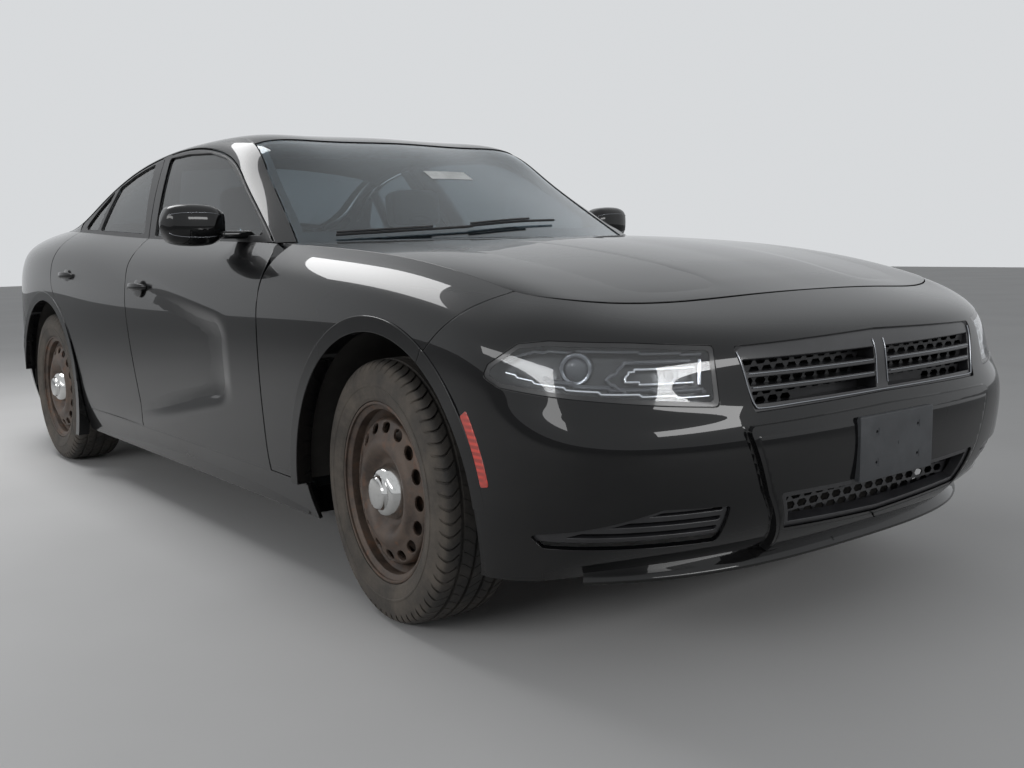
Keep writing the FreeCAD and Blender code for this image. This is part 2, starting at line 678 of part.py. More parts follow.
def make_wheel():
    """Left steel wheel about the Y axis, +Y outwards: rim barrel, vented disc and centre cap."""
    half = RIM_WIDTH / 2
    seat = RIM_SEAT_RADIUS
    barrel = [(RIM_RADIUS, half), (RIM_RADIUS + 1, half - 8), (seat + 1, half - 14), (seat + 1, half - 40),
              (seat - 30, half - 62), (seat - 30, -half + 50), (seat + 1, -half + 30),
              (seat + 1, -half + 14), (RIM_RADIUS, -half + 8), (RIM_RADIUS, -half)]
    inner = [(r - RIM_WALL, a) for r, a in barrel]
    rim = spin_y(barrel + inner[::-1])
    face = half - DISC_FACE_OFFSET
    disc_top = [(HUB_BORE_RADIUS, face - 2), (88, face - 2), (104, face + 20), (132, face + 30),
                (158, face + 18), (seat - 34, face - 6), (seat - 31, face - 30)]
    disc = spin_y(disc_top + [(r, a - DISC_THICKNESS) for r, a in disc_top[::-1]])
    wheel = rim.fuse(disc)
    vent = outline_face([(-VENT_LENGTH / 2, 0, -VENT_WIDTH / 2), (VENT_LENGTH / 2, 0, -VENT_WIDTH / 2),
                         (VENT_LENGTH / 2, 0, VENT_WIDTH / 2), (-VENT_LENGTH / 2, 0, VENT_WIDTH / 2)],
                        VENT_WIDTH * 0.42)
    hole = vent.extrude(VEC(0, 160, 0))
    hole.translate(VEC(VENT_CIRCLE_RADIUS, face - 60, 0))
    for i in range(VENT_COUNT):
        wheel = wheel.cut(turned_y(hole, 360 * i / VENT_COUNT))
    for i in range(BOLT_COUNT):
        a = 2 * math.pi * i / BOLT_COUNT
        r = BOLT_CIRCLE / 2
        wheel = wheel.cut(cylinder_y(r * math.cos(a), r * math.sin(a), BOLT_HOLE_RADIUS, face - 40, face + 40))
    return largest(wheel)


def make_cap():
    """Centre cap, seated on the wheel's disc."""
    face = RIM_WIDTH / 2 - DISC_FACE_OFFSET
    low = face - 2 + SEAT_CLEARANCE
    return spin_y([(0, low), (CAP_RADIUS + 14, low), (CAP_RADIUS + 14, low + 6), (CAP_RADIUS, low + 12),
                   (CAP_RADIUS - 4, low + 40), (CAP_RADIUS - 18, low + CAP_HEIGHT - 6),
                   (30, low + CAP_HEIGHT), (0, low + CAP_HEIGHT)])


def turned_y(shape, angle):
    result = shape.copy()
    result.rotate(VEC(0, 0, 0), VEC(0, 1, 0), angle)
    return result


def placed(shape, x, y, z, turn_z=0):
    result = shape.copy()
    if turn_z:
        result.rotate(VEC(0, 0, 0), VEC(0, 0, 1), turn_z)
    result.translate(VEC(x, y, z))
    return result


def make_doors():
    doors = {}
    doors["front_door"] = make_door(FRONT_SHUT, MID_SHUT, FRAME_FRONT_X, -600, (8.2, 10.8), [FRONT_WINDOW],
                                    (DOOR_REBATE, 45, SILL_TOP_Z + 30, 135))
    doors["rear_door"] = make_door(MID_SHUT, REAR_SHUT, -372, FRAME_REAR_X, (10.1, 13.5),
                                   [REAR_WINDOW, QUARTER_WINDOW], (DOOR_REBATE + 6, 45, SILL_TOP_Z + 30, 60))
    return doors


def pillar_foot():
    """Fill between the belt and the roof rail behind the rear door."""
    surfaces = []
    for depth in (1, 21):
        grid = []
        for x in steps(FOOT_FRONT_X, FOOT_REAR_X, 14):
            low, high = belt_point(x), door_line_point(x)
            under = VEC(0, -depth, -depth / 2)
            grid.append([low + under - VEC(0, 0, FOOT_OVERLAP), low + under, high + under,
                         high + under + VEC(0, -FOOT_OVERLAP, FOOT_OVERLAP * 0.4)])
        surfaces.append(surface_through(grid))
    return solid_between(*surfaces)


def body_side():
    """Left side frame: pillars, roof rail and rear quarter in one piece."""
    door_corner = [(-600, 950)] + [(x + PANEL_GAP / 2, z) for x, z in FRONT_SHUT[3:]] + [(-600, 1060)]
    strip = roof_rail().cut(side_prism(door_corner, 765, 1100))
    quarter = panel(SIDE, (12.0, 16.9), (0.2, V_TOP), 0, SKIN)
    ahead = [(x - PANEL_GAP / 2, z) for x, z in REAR_SHUT]
    keep = side_prism([(ahead[0][0], 180)] + ahead + [(ahead[-1][0], 1400), (-2560, 1400), (-2560, 180)],
                      200, 1100)
    quarter = quarter.common(keep).cut(rear_bumper_prism()).cut(lid_prism(PANEL_GAP))
    quarter = quarter.cut(front_prism(LAMP_BAND, -2620, -1900, 18))
    foot = pillar_foot().common(keep)
    side = strip.cut(hood_prism(PANEL_GAP / 2)).fuse(foot).fuse(quarter).cut(deck_prism(PANEL_GAP / 2))
    side = side.cut(arch_cutter(REAR_AXLE_X, REAR_ARCH_RADIUS))
    ring = cylinder_y(REAR_AXLE_X, TYRE_RADIUS, REAR_ARCH_RADIUS + ARCH_LIP_WIDTH, ARCH_RING_Y, ARCH_LIP_Y)
    ring = ring.cut(arch_cutter(REAR_AXLE_X, REAR_ARCH_RADIUS)).common(keep).cut(rear_bumper_prism())
    return largest(side.fuse(ring))


def rear_bumper_prism(gap=0.0):
    outline = [(x + gap, z + gap) for x, z in REAR_BUMPER_LINE]
    outline = [(outline[0][0], 150)] + outline + [(-2700, 150)]
    return side_prism(outline, -1100, 1100)


def front_bumper_prism(gap=0.0):
    outline = [(x - gap, z) for x, z in FRONT_BUMPER_LINE]
    return side_prism(outline + [(2700, 960), (2700, 150)], -1100, 1100)


def make_fender():
    """Left front wing, from the door to the bumper, with the arch lip."""
    skin = panel(SIDE, (4.6, 8.4), (0.2, V_TOP), 0, SKIN)
    rear = [(x + PANEL_GAP / 2, z) for x, z in FRONT_SHUT]
    rear[0] = (rear[0][0], SILL_TOP_Z + PANEL_GAP / 2)
    keep = side_prism(rear + [(rear[-1][0], 1200), (2300, 1200), (2300, rear[0][1])], 200, 1100)
    keep = keep.cut(front_bumper_prism(2))
    opening = arch_cutter(ARCH_X, ARCH_RADIUS)
    ring = cylinder_y(ARCH_X, TYRE_RADIUS, ARCH_RADIUS + ARCH_LIP_WIDTH, ARCH_RING_Y, ARCH_LIP_Y)
    wing = skin.fuse(ring).cut(opening).common(keep).cut(hood_prism(PANEL_GAP / 2))
    return largest(wing)


def slanted_prism(outline, angle, low, high, radius=0.0):
    """Prism along a level direction at this angle from +X; outline is (across, z)."""
    a = math.radians(angle)
    along = VEC(math.cos(a), math.sin(a), 0)
    across = VEC(-math.sin(a), math.cos(a), 0)
    points = [across * t + VEC(0, 0, z) + along * low for t, z in outline]
    return outline_face([tuple(p) for p in points], radius).extrude(along * (high - low))


def nose_panel(u_reach, v_range, top, thickness, refine=1):
    """Piece of the nose across the car, from one side to the other."""
    middle = float(TAIL_COLUMN)
    return panel(REAR_RING, (middle - u_reach, middle + u_reach), v_range, top, thickness, refine)


def tail_panel(u_reach, v_range, top, thickness, refine=1):
    """Piece of the tail across the car, from one side to the other."""
    middle = float(TAIL_COLUMN)
    return panel(SIDE, (middle - u_reach, middle + u_reach), v_range, top, thickness, refine)


def both_sides(shape):
    return [shape, on_right(shape)]


def make_front_fascia():
    skin = nose_panel(6.45, (0.0, V_TOP), 0, FASCIA_THICKNESS)
    skin = skin.common(front_bumper_prism())
    snout = nose_panel(2.4, (0.12, 4.0), -SNOUT_REACH, SNOUT_REACH + FASCIA_THICKNESS / 2)
    skin = skin.fuse(snout.common(front_prism(SNOUT_OUTLINE, 2300, 2700, 14)))
    skin = skin.cut(arch_cutter(ARCH_X, ARCH_RADIUS)).cut(hood_prism(PANEL_GAP / 2))
    skin = skin.cut(front_prism(GRILLE_OUTLINE, 2300, 2700, 10))
    skin = skin.cut(front_prism(LOWER_GRILLE_OUTLINE, 2300, 2700, 10))
    for side in (LEFT, RIGHT):
        skin = skin.cut(on_side(slanted_prism(LAMP_OUTLINE, LAMP_ANGLE, 1500, 2700, 12), side))
        skin = skin.cut(on_side(front_prism(VENT_OUTLINE, 2100, 2700, 8), side))
    ring = cylinder_y(ARCH_X, TYRE_RADIUS, ARCH_RADIUS + ARCH_LIP_WIDTH, ARCH_RING_Y, ARCH_LIP_Y)
    ring = ring.cut(arch_cutter(ARCH_X, ARCH_RADIUS)).common(front_bumper_prism())
    ring = ring.common(box((1500, 0, 250), (2300, 1100, 900)))
    for piece in both_sides(ring) + [make_lip()]:
        skin = skin.fuse(piece)
    return largest(skin)


def shrink_pairs(outline, distance):
    return [(a, b) for a, b in shrunk(outline, distance)]


def make_headlamp():
    """Left headlamp: its lens face follows the body, its back is closed."""
    lens = panel(SIDE, (1.2, 6.0), (2.2, 5.8), 2, LAMP_DEPTH, 2)
    outline = shrink_pairs(LAMP_OUTLINE, 2)
    return largest(lens.common(slanted_prism(outline, LAMP_ANGLE, 1500, 2700, 10)))


def make_grille():
    """Upper grille: frame, level bars, middle post and a thin slatted screen behind."""
    sheet = nose_panel(2.6, (2.6, 5.6), 6, GRILLE_DEPTH + 52)
    outer = front_prism(shrink_pairs(GRILLE_OUTLINE, 1), 2300, 2700, 10)
    inner = front_prism(shrink_pairs(GRILLE_OUTLINE, FRAME_WIDTH), 2300, 2700, 8)
    pattern = outer.cut(inner)
    for z in BAR_HEIGHTS:
        slab = box((2300, -520, z - BAR_THICKNESS / 2), (2700, 520, z + BAR_THICKNESS / 2))
        pattern = pattern.fuse(slab.common(outer))
    post = box((2300, -POST_HALF_WIDTH, 620), (2700, POST_HALF_WIDTH, 800)).common(outer)
    frame = sheet.common(pattern.fuse(post).removeSplitter())
    screen = honeycomb(shrink_pairs(GRILLE_OUTLINE, 1), SCREEN_X, 46, 24).common(outer)
    grille = frame.fuse(screen)
    for side in (LEFT, RIGHT):
        grille = grille.cut(on_side(slanted_prism(shrink_pairs(LAMP_OUTLINE, -1), LAMP_ANGLE, 1500, 2700), side))
    return largest(grille)


def honeycomb(outline, x, pitch, height):
    """Upright plate with staggered rows of six-sided openings, inside a plain border."""
    border = shrink_pairs(outline, 4)
    margin = Part.Face(Part.makePolygon([VEC(x, y, z) for y, z in border + border[:1]]))
    wires = [Part.makePolygon([VEC(x, y, z) for y, z in outline + outline[:1]])]
    low, high = margin.BoundBox.ZMin, margin.BoundBox.ZMax
    half_width = margin.BoundBox.YMax
    w, h = pitch * 0.42, height * 0.40
    for row in range(int((high - low) / height) + 1):
        z = low + height * (row + 0.5)
        y = -half_width + (pitch / 2 if row % 2 else 0)
        while y < half_width:
            ring = [(y - w, z), (y - w * 0.6, z + h), (y + w * 0.6, z + h), (y + w, z),
                    (y + w * 0.6, z - h), (y - w * 0.6, z - h)]
            if all(margin.isInside(VEC(x, a, b), 0.01, True) for a, b in ring):
                wires.append(Part.makePolygon([VEC(x, a, b) for a, b in ring + ring[:1]]))
            y += pitch
    return Part.makeFace(wires, "Part::FaceMakerBullseye").extrude(VEC(SCREEN_THICKNESS_X, 0, 0))


def make_lower_grille():
    outer = front_prism(shrink_pairs(LOWER_GRILLE_OUTLINE, 1), 2300, 2700, 9)
    inner = front_prism(shrink_pairs(LOWER_GRILLE_OUTLINE, FRAME_WIDTH), 2300, 2700, 8)
    frame = nose_panel(2.4, (0.2, 3.6), 0, 68).common(outer.cut(inner))
    screen = honeycomb(shrink_pairs(LOWER_GRILLE_OUTLINE, 1), LOW_SCREEN_X, 46, 22).common(outer)
    return largest(frame.fuse(screen))


def make_vent():
    """Left bumper vent: a recessed tray with three louvres."""
    outer = front_prism(shrink_pairs(VENT_OUTLINE, 1), 2000, 2700, 7)
    tray = panel(SIDE, (1.6, 5.4), (0.4, 3.4), 26, 6).common(outer)
    for z in (362, 388, 412):
        slab = box((2000, 500, z - 4), (2700, 950, z + 4)).common(outer)
        tray = tray.fuse(panel(SIDE, (1.6, 5.4), (0.4, 3.4), 8, 22).common(slab))
    return largest(tray)


def lip_point(u, t, under):
    """Point of the chin lip: t runs from its root in the bumper to its edge."""
    base = SIDE.value(u % SIDE_PERIOD, 0.0)
    away = outward(SIDE, u % SIDE_PERIOD, 1.0)
    away = VEC(away.x, away.y, 0).normalize()
    p = base + away * (-LIP_ROOT_INSET + (LIP_REACH + LIP_ROOT_INSET) * t)
    drop = LIP_ROOT_THICKNESS + (LIP_EDGE_THICKNESS - LIP_ROOT_THICKNESS) * t if under else 0
    return VEC(p.x, p.y, LIP_EDGE_Z + (LIP_TOP_Z - LIP_EDGE_Z) * (1 - t) ** 1.2 - drop)


def make_lip():
    """Chin under the bumper: a shelf that slopes out and down."""
    grids = []
    for under in (False, True):
        us = steps(-LIP_HALF_U, LIP_HALF_U, 41)
        grids.append(surface_through([[lip_point(u, t, under) for t in steps(0, 1, 5)] for u in us]))
    return solid_between(*grids)


def make_plate_bracket():
    """Number plate bracket: a dished plate on two feet, with four screw holes."""
    half_w, half_h = PLATE_WIDTH / 2, PLATE_HEIGHT / 2
    z0 = PLATE_CENTRE_Z
    outline = [(-half_w, z0 - half_h), (half_w, z0 - half_h), (half_w, z0 + half_h), (-half_w, z0 + half_h)]
    plate = front_prism(outline, PLATE_X - 8, PLATE_X, 12)
    skirt = front_prism(outline, PLATE_X - 40, PLATE_X - 4, 12)
    skirt = skirt.cut(front_prism([(y * 0.965, z0 + (z - z0) * 0.93) for y, z in outline],
                                  PLATE_X - 60, PLATE_X - 8, 9))
    bracket = plate.fuse(skirt)
    block = nose_panel(1.6, (0.5, 5.0), -SNOUT_REACH - SEAT_CLEARANCE - 60,
                       60)
    bracket = bracket.common(block)
    for dy in (-PLATE_HOLE_SPACING_Y / 2, PLATE_HOLE_SPACING_Y / 2):
        for dz in (-PLATE_HOLE_SPACING_Z / 2, PLATE_HOLE_SPACING_Z / 2):
            hole = Part.makeCylinder(PLATE_HOLE_RADIUS, 60, VEC(PLATE_X - 30, dy, z0 + dz), VEC(1, 0, 0))
            bracket = bracket.cut(hole)
    return largest(bracket)


def hood_point(s, t, depth=0.0):
    """Hood surface: s runs across from right (-1) to left (1), t from rear to front."""
    side_x = HOOD_REAR_X + (HOOD_CORNER_X - HOOD_REAR_X) * t
    edge = belt_point_front(side_x)
    q = abs(s)
    front = SIDE.value(5.0 * q ** 0.9, V_TOP)
    rear = ROOF.value(0.0, ROOF_V / 2 - (ROOF_V / 2 - WINDSCREEN_V) * q)
    rear = VEC(rear.x + COWL_WIDTH * (1 - 0.7 * q), rear.y, rear.z)
    corner_rear = belt_point_front(HOOD_REAR_X)
    corner_front = SIDE.value(5.0, V_TOP)
    middle_rear = VEC(ROOF.value(0, ROOF_V / 2).x + COWL_WIDTH, 0, HOOD_CENTRE[0][1])
    middle_front = SIDE.value(0.0, V_TOP)
    rear_scaled = rear + (corner_rear - ROOF_EDGE_REAR) * q
    lengthways = rear_scaled * (1 - t) + front * t
    centre = VEC(middle_rear.x + (middle_front.x - middle_rear.x) * t, 0, 0)
    centre.z = spline_value(HOOD_CENTRE, centre.x)
    across = centre + (edge - centre) * q
    flat = (middle_rear * (1 - t) + middle_front * t) * (1 - q) + (corner_rear * (1 - t) + corner_front * t) * q
    p = lengthways + across - flat
    crown = HOOD_CROWN * (1 - q * q) * q * 4 * t ** 0.3 * (1 - t) ** 0.4
    y = p.y if s >= 0 else -p.y
    return VEC(p.x, y, p.z + crown - depth)


def belt_point_front(x):
    u = at_x(lambda k: SIDE.value(k, V_TOP), x, 4.9, 16.0)
    return SIDE.value(u, V_TOP)


ROOF_EDGE_REAR = ROOF.value(0.0, WINDSCREEN_V) + VEC(COWL_WIDTH * 0.3, 0, 0)


def widened(points, gap, z_low, z_high):
    """Upright prism round an outline seen from above, this much larger all round."""
    wire = Part.makePolygon([VEC(x, y, z_low) for x, y in points + points[:1]])
    larger = wire.makeOffset2D(gap, join=2)
    if Part.Face(larger).Area < Part.Face(wire).Area:
        larger = wire.makeOffset2D(-gap, join=2)
    return Part.Face(larger).extrude(VEC(0, 0, z_high - z_low))


def hood_prism(gap):
    """Space of the hood seen from above, with a gap round it."""
    border = [hood_point(HOOD_S, t) for t in steps(HOOD_T_LOW, HOOD_T_HIGH, 24)]
    border += [hood_point(s, HOOD_T_HIGH) for s in steps(HOOD_S, -HOOD_S, 40)[1:]]
    border += [hood_point(-HOOD_S, t) for t in steps(HOOD_T_HIGH, HOOD_T_LOW, 24)[1:]]
    border += [hood_point(s, HOOD_T_LOW) for s in steps(-HOOD_S, HOOD_S, 24)[1:-1]]
    return widened([(p.x, p.y) for p in border], gap, 700, 1200)


def deck_prism(gap):
    """Space of the boot lid seen from above, with a gap round it."""
    xs = steps(DECK_FRONT_X, DECK_REAR_X, 48)
    left = [deck_point(DECK_SIDE, x) for x in xs]
    border = [(p.x, p.y) for p in left] + [(p.x, -p.y) for p in left[::-1]]
    return widened(border, gap, 1040, 1300)


def make_hood():
    grids = []
    for depth in (0, HOOD_THICKNESS):
        grid = []
        for s in steps(-HOOD_S, HOOD_S, 33):
            grid.append([hood_point(s, t, depth) for t in steps(HOOD_T_LOW, HOOD_T_HIGH, 20)])
        grids.append(surface_through(grid))
    return solid_between(*grids)


def deck_point(s, x, depth=0.0):
    """Boot lid's upper surface: s runs across, x along the car."""
    edge = belt_point(x)
    centre_z = spline_value(DECK_CENTRE, x)
    return VEC(x, edge.y * s, edge.z + (centre_z - edge.z) * (1 - s * s) - depth)


def lamp_skin(top, thickness):
    return tail_panel(4.4, (4.0, 5.95), top, thickness)


def make_tail():
    """Boot lid, the lamp it carries and the left corner lamp."""
    grids = []
    for depth in (0, HOOD_THICKNESS):
        grid = [[deck_point(s, x, depth) for x in steps(DECK_FRONT_X, DECK_REAR_X, 26)]
                for s in steps(-DECK_SIDE, DECK_SIDE, 21)]
        grids.append(surface_through(grid))
    top = solid_between(*grids)
    back = tail_panel(3.0, (4.2, V_TOP), 0, HOOD_THICKNESS)
    band = front_prism(LAMP_BAND, -2620, -1900, 18)
    inner_band = front_prism(shrink_pairs(LAMP_BAND, SEAT_CLEARANCE), -2620, -1900, 18)
    lid = largest(top.fuse(back.common(lid_prism(0)))).cut(band)
    lens = lamp_skin(-1, LAMP_LENS_THICKNESS).common(inner_band)
    lid_lamp = largest(lens.common(lid_prism(-SEAT_CLEARANCE)))
    corner_lamp = largest(lens.cut(lid_prism(PANEL_GAP)).common(box((-2700, 0, 700), (-1900, 1100, 1100))))
    return largest(lid), lid_lamp, corner_lamp


def lid_prism(gap):
    half = LID_HALF_WIDTH + gap
    return front_prism([(-half, LID_LOW_Z - gap), (half, LID_LOW_Z - gap), (half + 60, 1200), (-half - 60, 1200)],
                       -2600, -2200, 20)


def make_rear_fascia():
    skin = tail_panel(5.2, (0.0, V_TOP), 0, FASCIA_THICKNESS)
    low = skin.common(rear_bumper_prism(-4))
    for y in (-TAIL_PIPE_Y, TAIL_PIPE_Y):
        low = low.cut(Part.makeCylinder(TAIL_PIPE_RADIUS + 14, 600, VEC(-2700, y, TAIL_PIPE_Z), VEC(1, 0, 0)))
    return largest(low.cut(arch_cutter(REAR_AXLE_X, REAR_ARCH_RADIUS + 13)))


def roof_zone(u_range, v_margin, top, thickness):
    """Piece of the glass or roof between the side frames."""
    low = WINDSCREEN_V + v_margin
    return panel(ROOF, u_range, (low, ROOF_V - low), top, thickness)


HEADER_U = at_x(lambda t: ROOF.value(t, ROOF_V / 2), HEADER_X, 0.0, ROOF_U)
BACKLIGHT_U = at_x(lambda t: ROOF.value(t, ROOF_V / 2), BACKLIGHT_TOP_X, 0.0, ROOF_U)


def make_roof():
    return roof_zone((HEADER_U, BACKLIGHT_U), GLASS_GAP_V / 4, ROOF_SINK, ROOF_THICKNESS)


def make_fixed_glass():
    screen = roof_zone((0.0, HEADER_U - GLASS_GAP_U), GLASS_GAP_V, ROOF_SINK + 1, SCREEN_THICKNESS)
    back = roof_zone((BACKLIGHT_U + GLASS_GAP_U, ROOF_U - 0.35), GLASS_GAP_V, ROOF_SINK + 1, SCREEN_THICKNESS)
    return [screen, back]


def make_floor():
    """Floor pan with tunnel, raised over the rear axle and through the boot."""
    section = [(FLOOR_FRONT_X, FLOOR_Z), (-930, FLOOR_Z), (-1060, 400), (-1840, 400), (-1900, 330),
               (FLOOR_REAR_X, 330), (FLOOR_REAR_X, 346), (-1894, 346), (-1834, 416), (-1050, 416),
               (-922, FLOOR_Z + FLOOR_THICKNESS), (FLOOR_FRONT_X, FLOOR_Z + FLOOR_THICKNESS)]
    pan = side_prism(section, -CABIN_HALF_WIDTH, CABIN_HALF_WIDTH)
    narrow = box((-1980, REAR_RAIL_Y, 200), (-930, 900, 500))
    behind = box((-2500, BOOT_HALF_WIDTH, 200), (-1980, 900, 500))
    for corner in (narrow, behind):
        pan = pan.cut(corner).cut(on_right(corner))
    half, top = TUNNEL_HALF_WIDTH, TUNNEL_TOP
    tunnel = front_prism([(-half - 40, FLOOR_Z), (-half, top), (half, top), (half + 40, FLOOR_Z)],
                         -940, FLOOR_FRONT_X)
    hollow = front_prism([(-half - 22, FLOOR_Z - 5), (-half + 16, top - 16), (half - 16, top - 16),
                          (half + 22, FLOOR_Z - 5)], -960, FLOOR_FRONT_X + 10)
    return largest(pan.fuse(tunnel).cut(hollow))


def make_sills():
    """Left sill under the doors, with the inner wall that the floor meets."""
    outer = panel(SIDE, (7.6, 12.4), (0.0, 2.6), 0, 30)
    keep = side_prism([(1130, 195), (1150, SILL_TOP_Z), (-1000, SILL_TOP_Z), (-1012, 195)], 300, 1100)
    outer = outer.common(keep)
    beam = box((-985, CABIN_HALF_WIDTH + SEAT_CLEARANCE, SILL_BOTTOM_Z + 8), (1120, 870, SILL_TOP_Z - 22))
    sill = outer.fuse(beam)
    web = box((-985, 850, SILL_BOTTOM_Z + 10), (1120, 900, SILL_TOP_Z - 26))
    sill = sill.fuse(web)
    for low, high in PILLAR_SPANS:
        foot = box((low, CABIN_HALF_WIDTH + SEAT_CLEARANCE, SILL_BOTTOM_Z + 20), (high, 782, SILL_TOP_Z + 60))
        sill = sill.fuse(foot)
    return sill.cut(arch_cutter(ARCH_X, ARCH_RADIUS + 4)).cut(arch_cutter(REAR_AXLE_X, REAR_ARCH_RADIUS + 4))


def make_middle_pillars():
    """Left middle pillar, from the sill to the roof rail, behind the doors."""
    foot = SILL_TOP_Z + 60 + SEAT_CLEARANCE
    lower = side_prism([(-300, foot), (-330, 1016), (-430, 1016), (-420, foot)], 738, 780)
    top = door_line_point(-600)
    x0, y0, z0 = -380, 736, 1012
    x1, y1, z1 = -600, top.y - 52, top.z - 30
    low = Part.makePolygon([VEC(x0 - 50, y0 - 20, z0), VEC(x0 + 50, y0 - 20, z0), VEC(x0 + 50, y0 + 14, z0),
                            VEC(x0 - 50, y0 + 14, z0), VEC(x0 - 50, y0 - 20, z0)])
    high = Part.makePolygon([VEC(x1 - 36, y1 - 20, z1), VEC(x1 + 36, y1 - 20, z1), VEC(x1 + 36, y1 + 10, z1),
                             VEC(x1 - 36, y1 + 10, z1), VEC(x1 - 36, y1 - 20, z1)])
    return lower.fuse(Part.makeLoft([low, high], True))


def make_bulkhead():
    """Firewall, cowl and dashboard in one piece across the car."""
    half = CABIN_HALF_WIDTH - 4
    wall = box((FIREWALL_X, -half, FLOOR_Z + FLOOR_THICKNESS + SEAT_CLEARANCE), (FIREWALL_X + 14, half, 960))
    tunnel = front_prism([(-TUNNEL_HALF_WIDTH - 42, FLOOR_Z), (-TUNNEL_HALF_WIDTH - 2, TUNNEL_TOP + 2),
                          (TUNNEL_HALF_WIDTH + 2, TUNNEL_TOP + 2), (TUNNEL_HALF_WIDTH + 42, FLOOR_Z)],
                         FIREWALL_X - 10, FIREWALL_X + 30)
    wall = wall.cut(tunnel)
    dash = side_prism([(FIREWALL_X + 14, 930), (FIREWALL_X + 14, 960), (900, 985), (640, 985), (560, 950), (540, 860),
                       (600, 760), (700, 690), (780, 690), (860, 780), (FIREWALL_X, 860)], -half + 12, half - 12, 14)
    cowl = side_prism([(FIREWALL_X, 900), (1095, 985), (1095, 1000), (FIREWALL_X - 20, 975)],
                      -640, 640)
    centre, axis = steering_axis()
    start = centre - axis * (COLUMN_LENGTH + SEAT_CLEARANCE)
    dash = dash.cut(Part.makeCylinder(COLUMN_RADIUS + SEAT_CLEARANCE, COLUMN_LENGTH * 2, start, axis))
    return largest(wall.fuse(dash).fuse(cowl))


def steering_axis():
    """Middle of the steering wheel and the direction from it to the driver."""
    return VEC(430, STEERING_Y, 905), VEC(-0.92, 0, 0.39).normalize()


def make_steering_wheel():
    """Steering wheel with its column, three spokes and hub."""
    centre, axis = steering_axis()
    rim = Part.makeTorus(182, 14, centre, axis)
    hub = Part.makeCylinder(58, 44, centre - axis * 40, axis)
    column = Part.makeCylinder(COLUMN_RADIUS, COLUMN_LENGTH - 25, centre - axis * COLUMN_LENGTH, axis)
    wheel = rim.fuse(hub).fuse(column)
    side = VEC(0, 1, 0)
    up = axis.cross(side)
    for direction in (side, side * -1, up if up.z < 0 else up * -1):
        spoke = Part.makeCylinder(13, 176, centre - axis * 12, direction)
        wheel = wheel.fuse(spoke)
    return largest(wheel)


def make_front_seat():
    """Left front seat: cushion, backrest and headrest on a low frame."""
    half = SEAT_WIDTH / 2
    low = FLOOR_Z + FLOOR_THICKNESS + SEAT_CLEARANCE
    frame = box((-150, SEAT_Y - 190, low), (300, SEAT_Y + 190, 352))
    cushion = side_prism([(-190, 350), (350, 350), (372, 470), (330, 505), (-120, 470)],
                         SEAT_Y - half, SEAT_Y + half, 36)
    back = side_prism([(-120, 440), (-20, 470), (-70, 700), (-170, 1060), (-280, 1060), (-270, 700),
                       (-210, 400)], SEAT_Y - half + 10, SEAT_Y + half - 10, 34)
    head = side_prism([(-180, 1095), (-225, 1275), (-330, 1262), (-300, 1095)], SEAT_Y - 135, SEAT_Y + 135, 26)
    posts = box((-262, SEAT_Y - 80, 1030), (-242, SEAT_Y + 80, 1120))
    return largest(frame.fuse(cushion).fuse(back).fuse(posts).fuse(head))


def make_rear_bench():
    """Rear bench: one cushion and one backrest across the cabin."""
    cushion = side_prism([(-1030, 420), (-1000, 300), (-560, 300), (-520, 330), (-520, 460), (-560, 490), (-1000, 470)],
                         -CABIN_HALF_WIDTH + 30, CABIN_HALF_WIDTH - 30, 20)
    cushion = cushion.cut(box((-1100, -TUNNEL_HALF_WIDTH - 60, 200), (-500, TUNNEL_HALF_WIDTH + 60, TUNNEL_TOP + 6)))
    floor_clear = side_prism([(-2000, 100), (-2000, 416.3), (-1050, 416.3), (-921, FLOOR_Z + 17), (-400, FLOOR_Z + 17),
                              (-400, 100)], -900, 900)
    back = side_prism([(-1030, 440), (-900, 470), (-1010, 700), (-1130, 1010), (-1240, 1010), (-1180, 700)],
                      -REAR_RAIL_Y, REAR_RAIL_Y, 24)
    bench = cushion.fuse(back).cut(floor_clear)
    return largest(bench)


def make_parcel_shelf():
    """Shelf behind the bench and the wall down to the boot floor."""
    half = REAR_RAIL_Y + 60
    low = 1010 + SEAT_CLEARANCE
    return side_prism([(-1165, low), (-1165, 1024), (-1255, 1026), (-1700, 1082), (-1752, 1096), (-1752, 1078),
                       (-1700, 1064), (-1266, low)], -half, half)


def make_engine():
    """Engine and gearbox as one plain block at its real place."""
    block = box(ENGINE_LOW, ENGINE_HIGH)
    gearbox = front_prism([(-96, 232), (96, 232), (96, 372), (-96, 372)], 420, ENGINE_LOW[0] + 1, 30)
    return block.fuse(gearbox)


def tube(points, radius):
    """Round bar through points, with ball corners."""
    solid = None
    for i in range(len(points) - 1):
        a, b = VEC(*points[i]), VEC(*points[i + 1])
        bar = Part.makeCylinder(radius, (b - a).Length, a, b - a)
        piece = bar if i == len(points) - 2 else bar.fuse(Part.makeSphere(radius, b))
        solid = piece if solid is None else solid.fuse(piece)
    return solid


def make_exhaust():
    """Two pipes along the tunnel, one middle and two rear silencers, two tail pipes."""
    run = tube([(700, 60, 192), (-500, 60, 192), (-960, 120, 192), (-1150, 300, 300), (-1650, 330, 300),
                (-1820, 400, 262)], EXHAUST_RADIUS)
    box_front = front_prism([(-150, 160), (150, 160), (150, 220), (-150, 220)], -420, 40, 24)
    muffler = front_prism([(300, 200), (560, 200), (560, 322), (300, 322)], -2330, -1790, 40)
    tail = tube([(-2320, TAIL_PIPE_Y, TAIL_PIPE_Z), (-2468, TAIL_PIPE_Y, TAIL_PIPE_Z)], TAIL_PIPE_RADIUS)
    half = run.fuse(muffler).fuse(tail)
    return largest(half.fuse(on_right(half)).fuse(box_front))


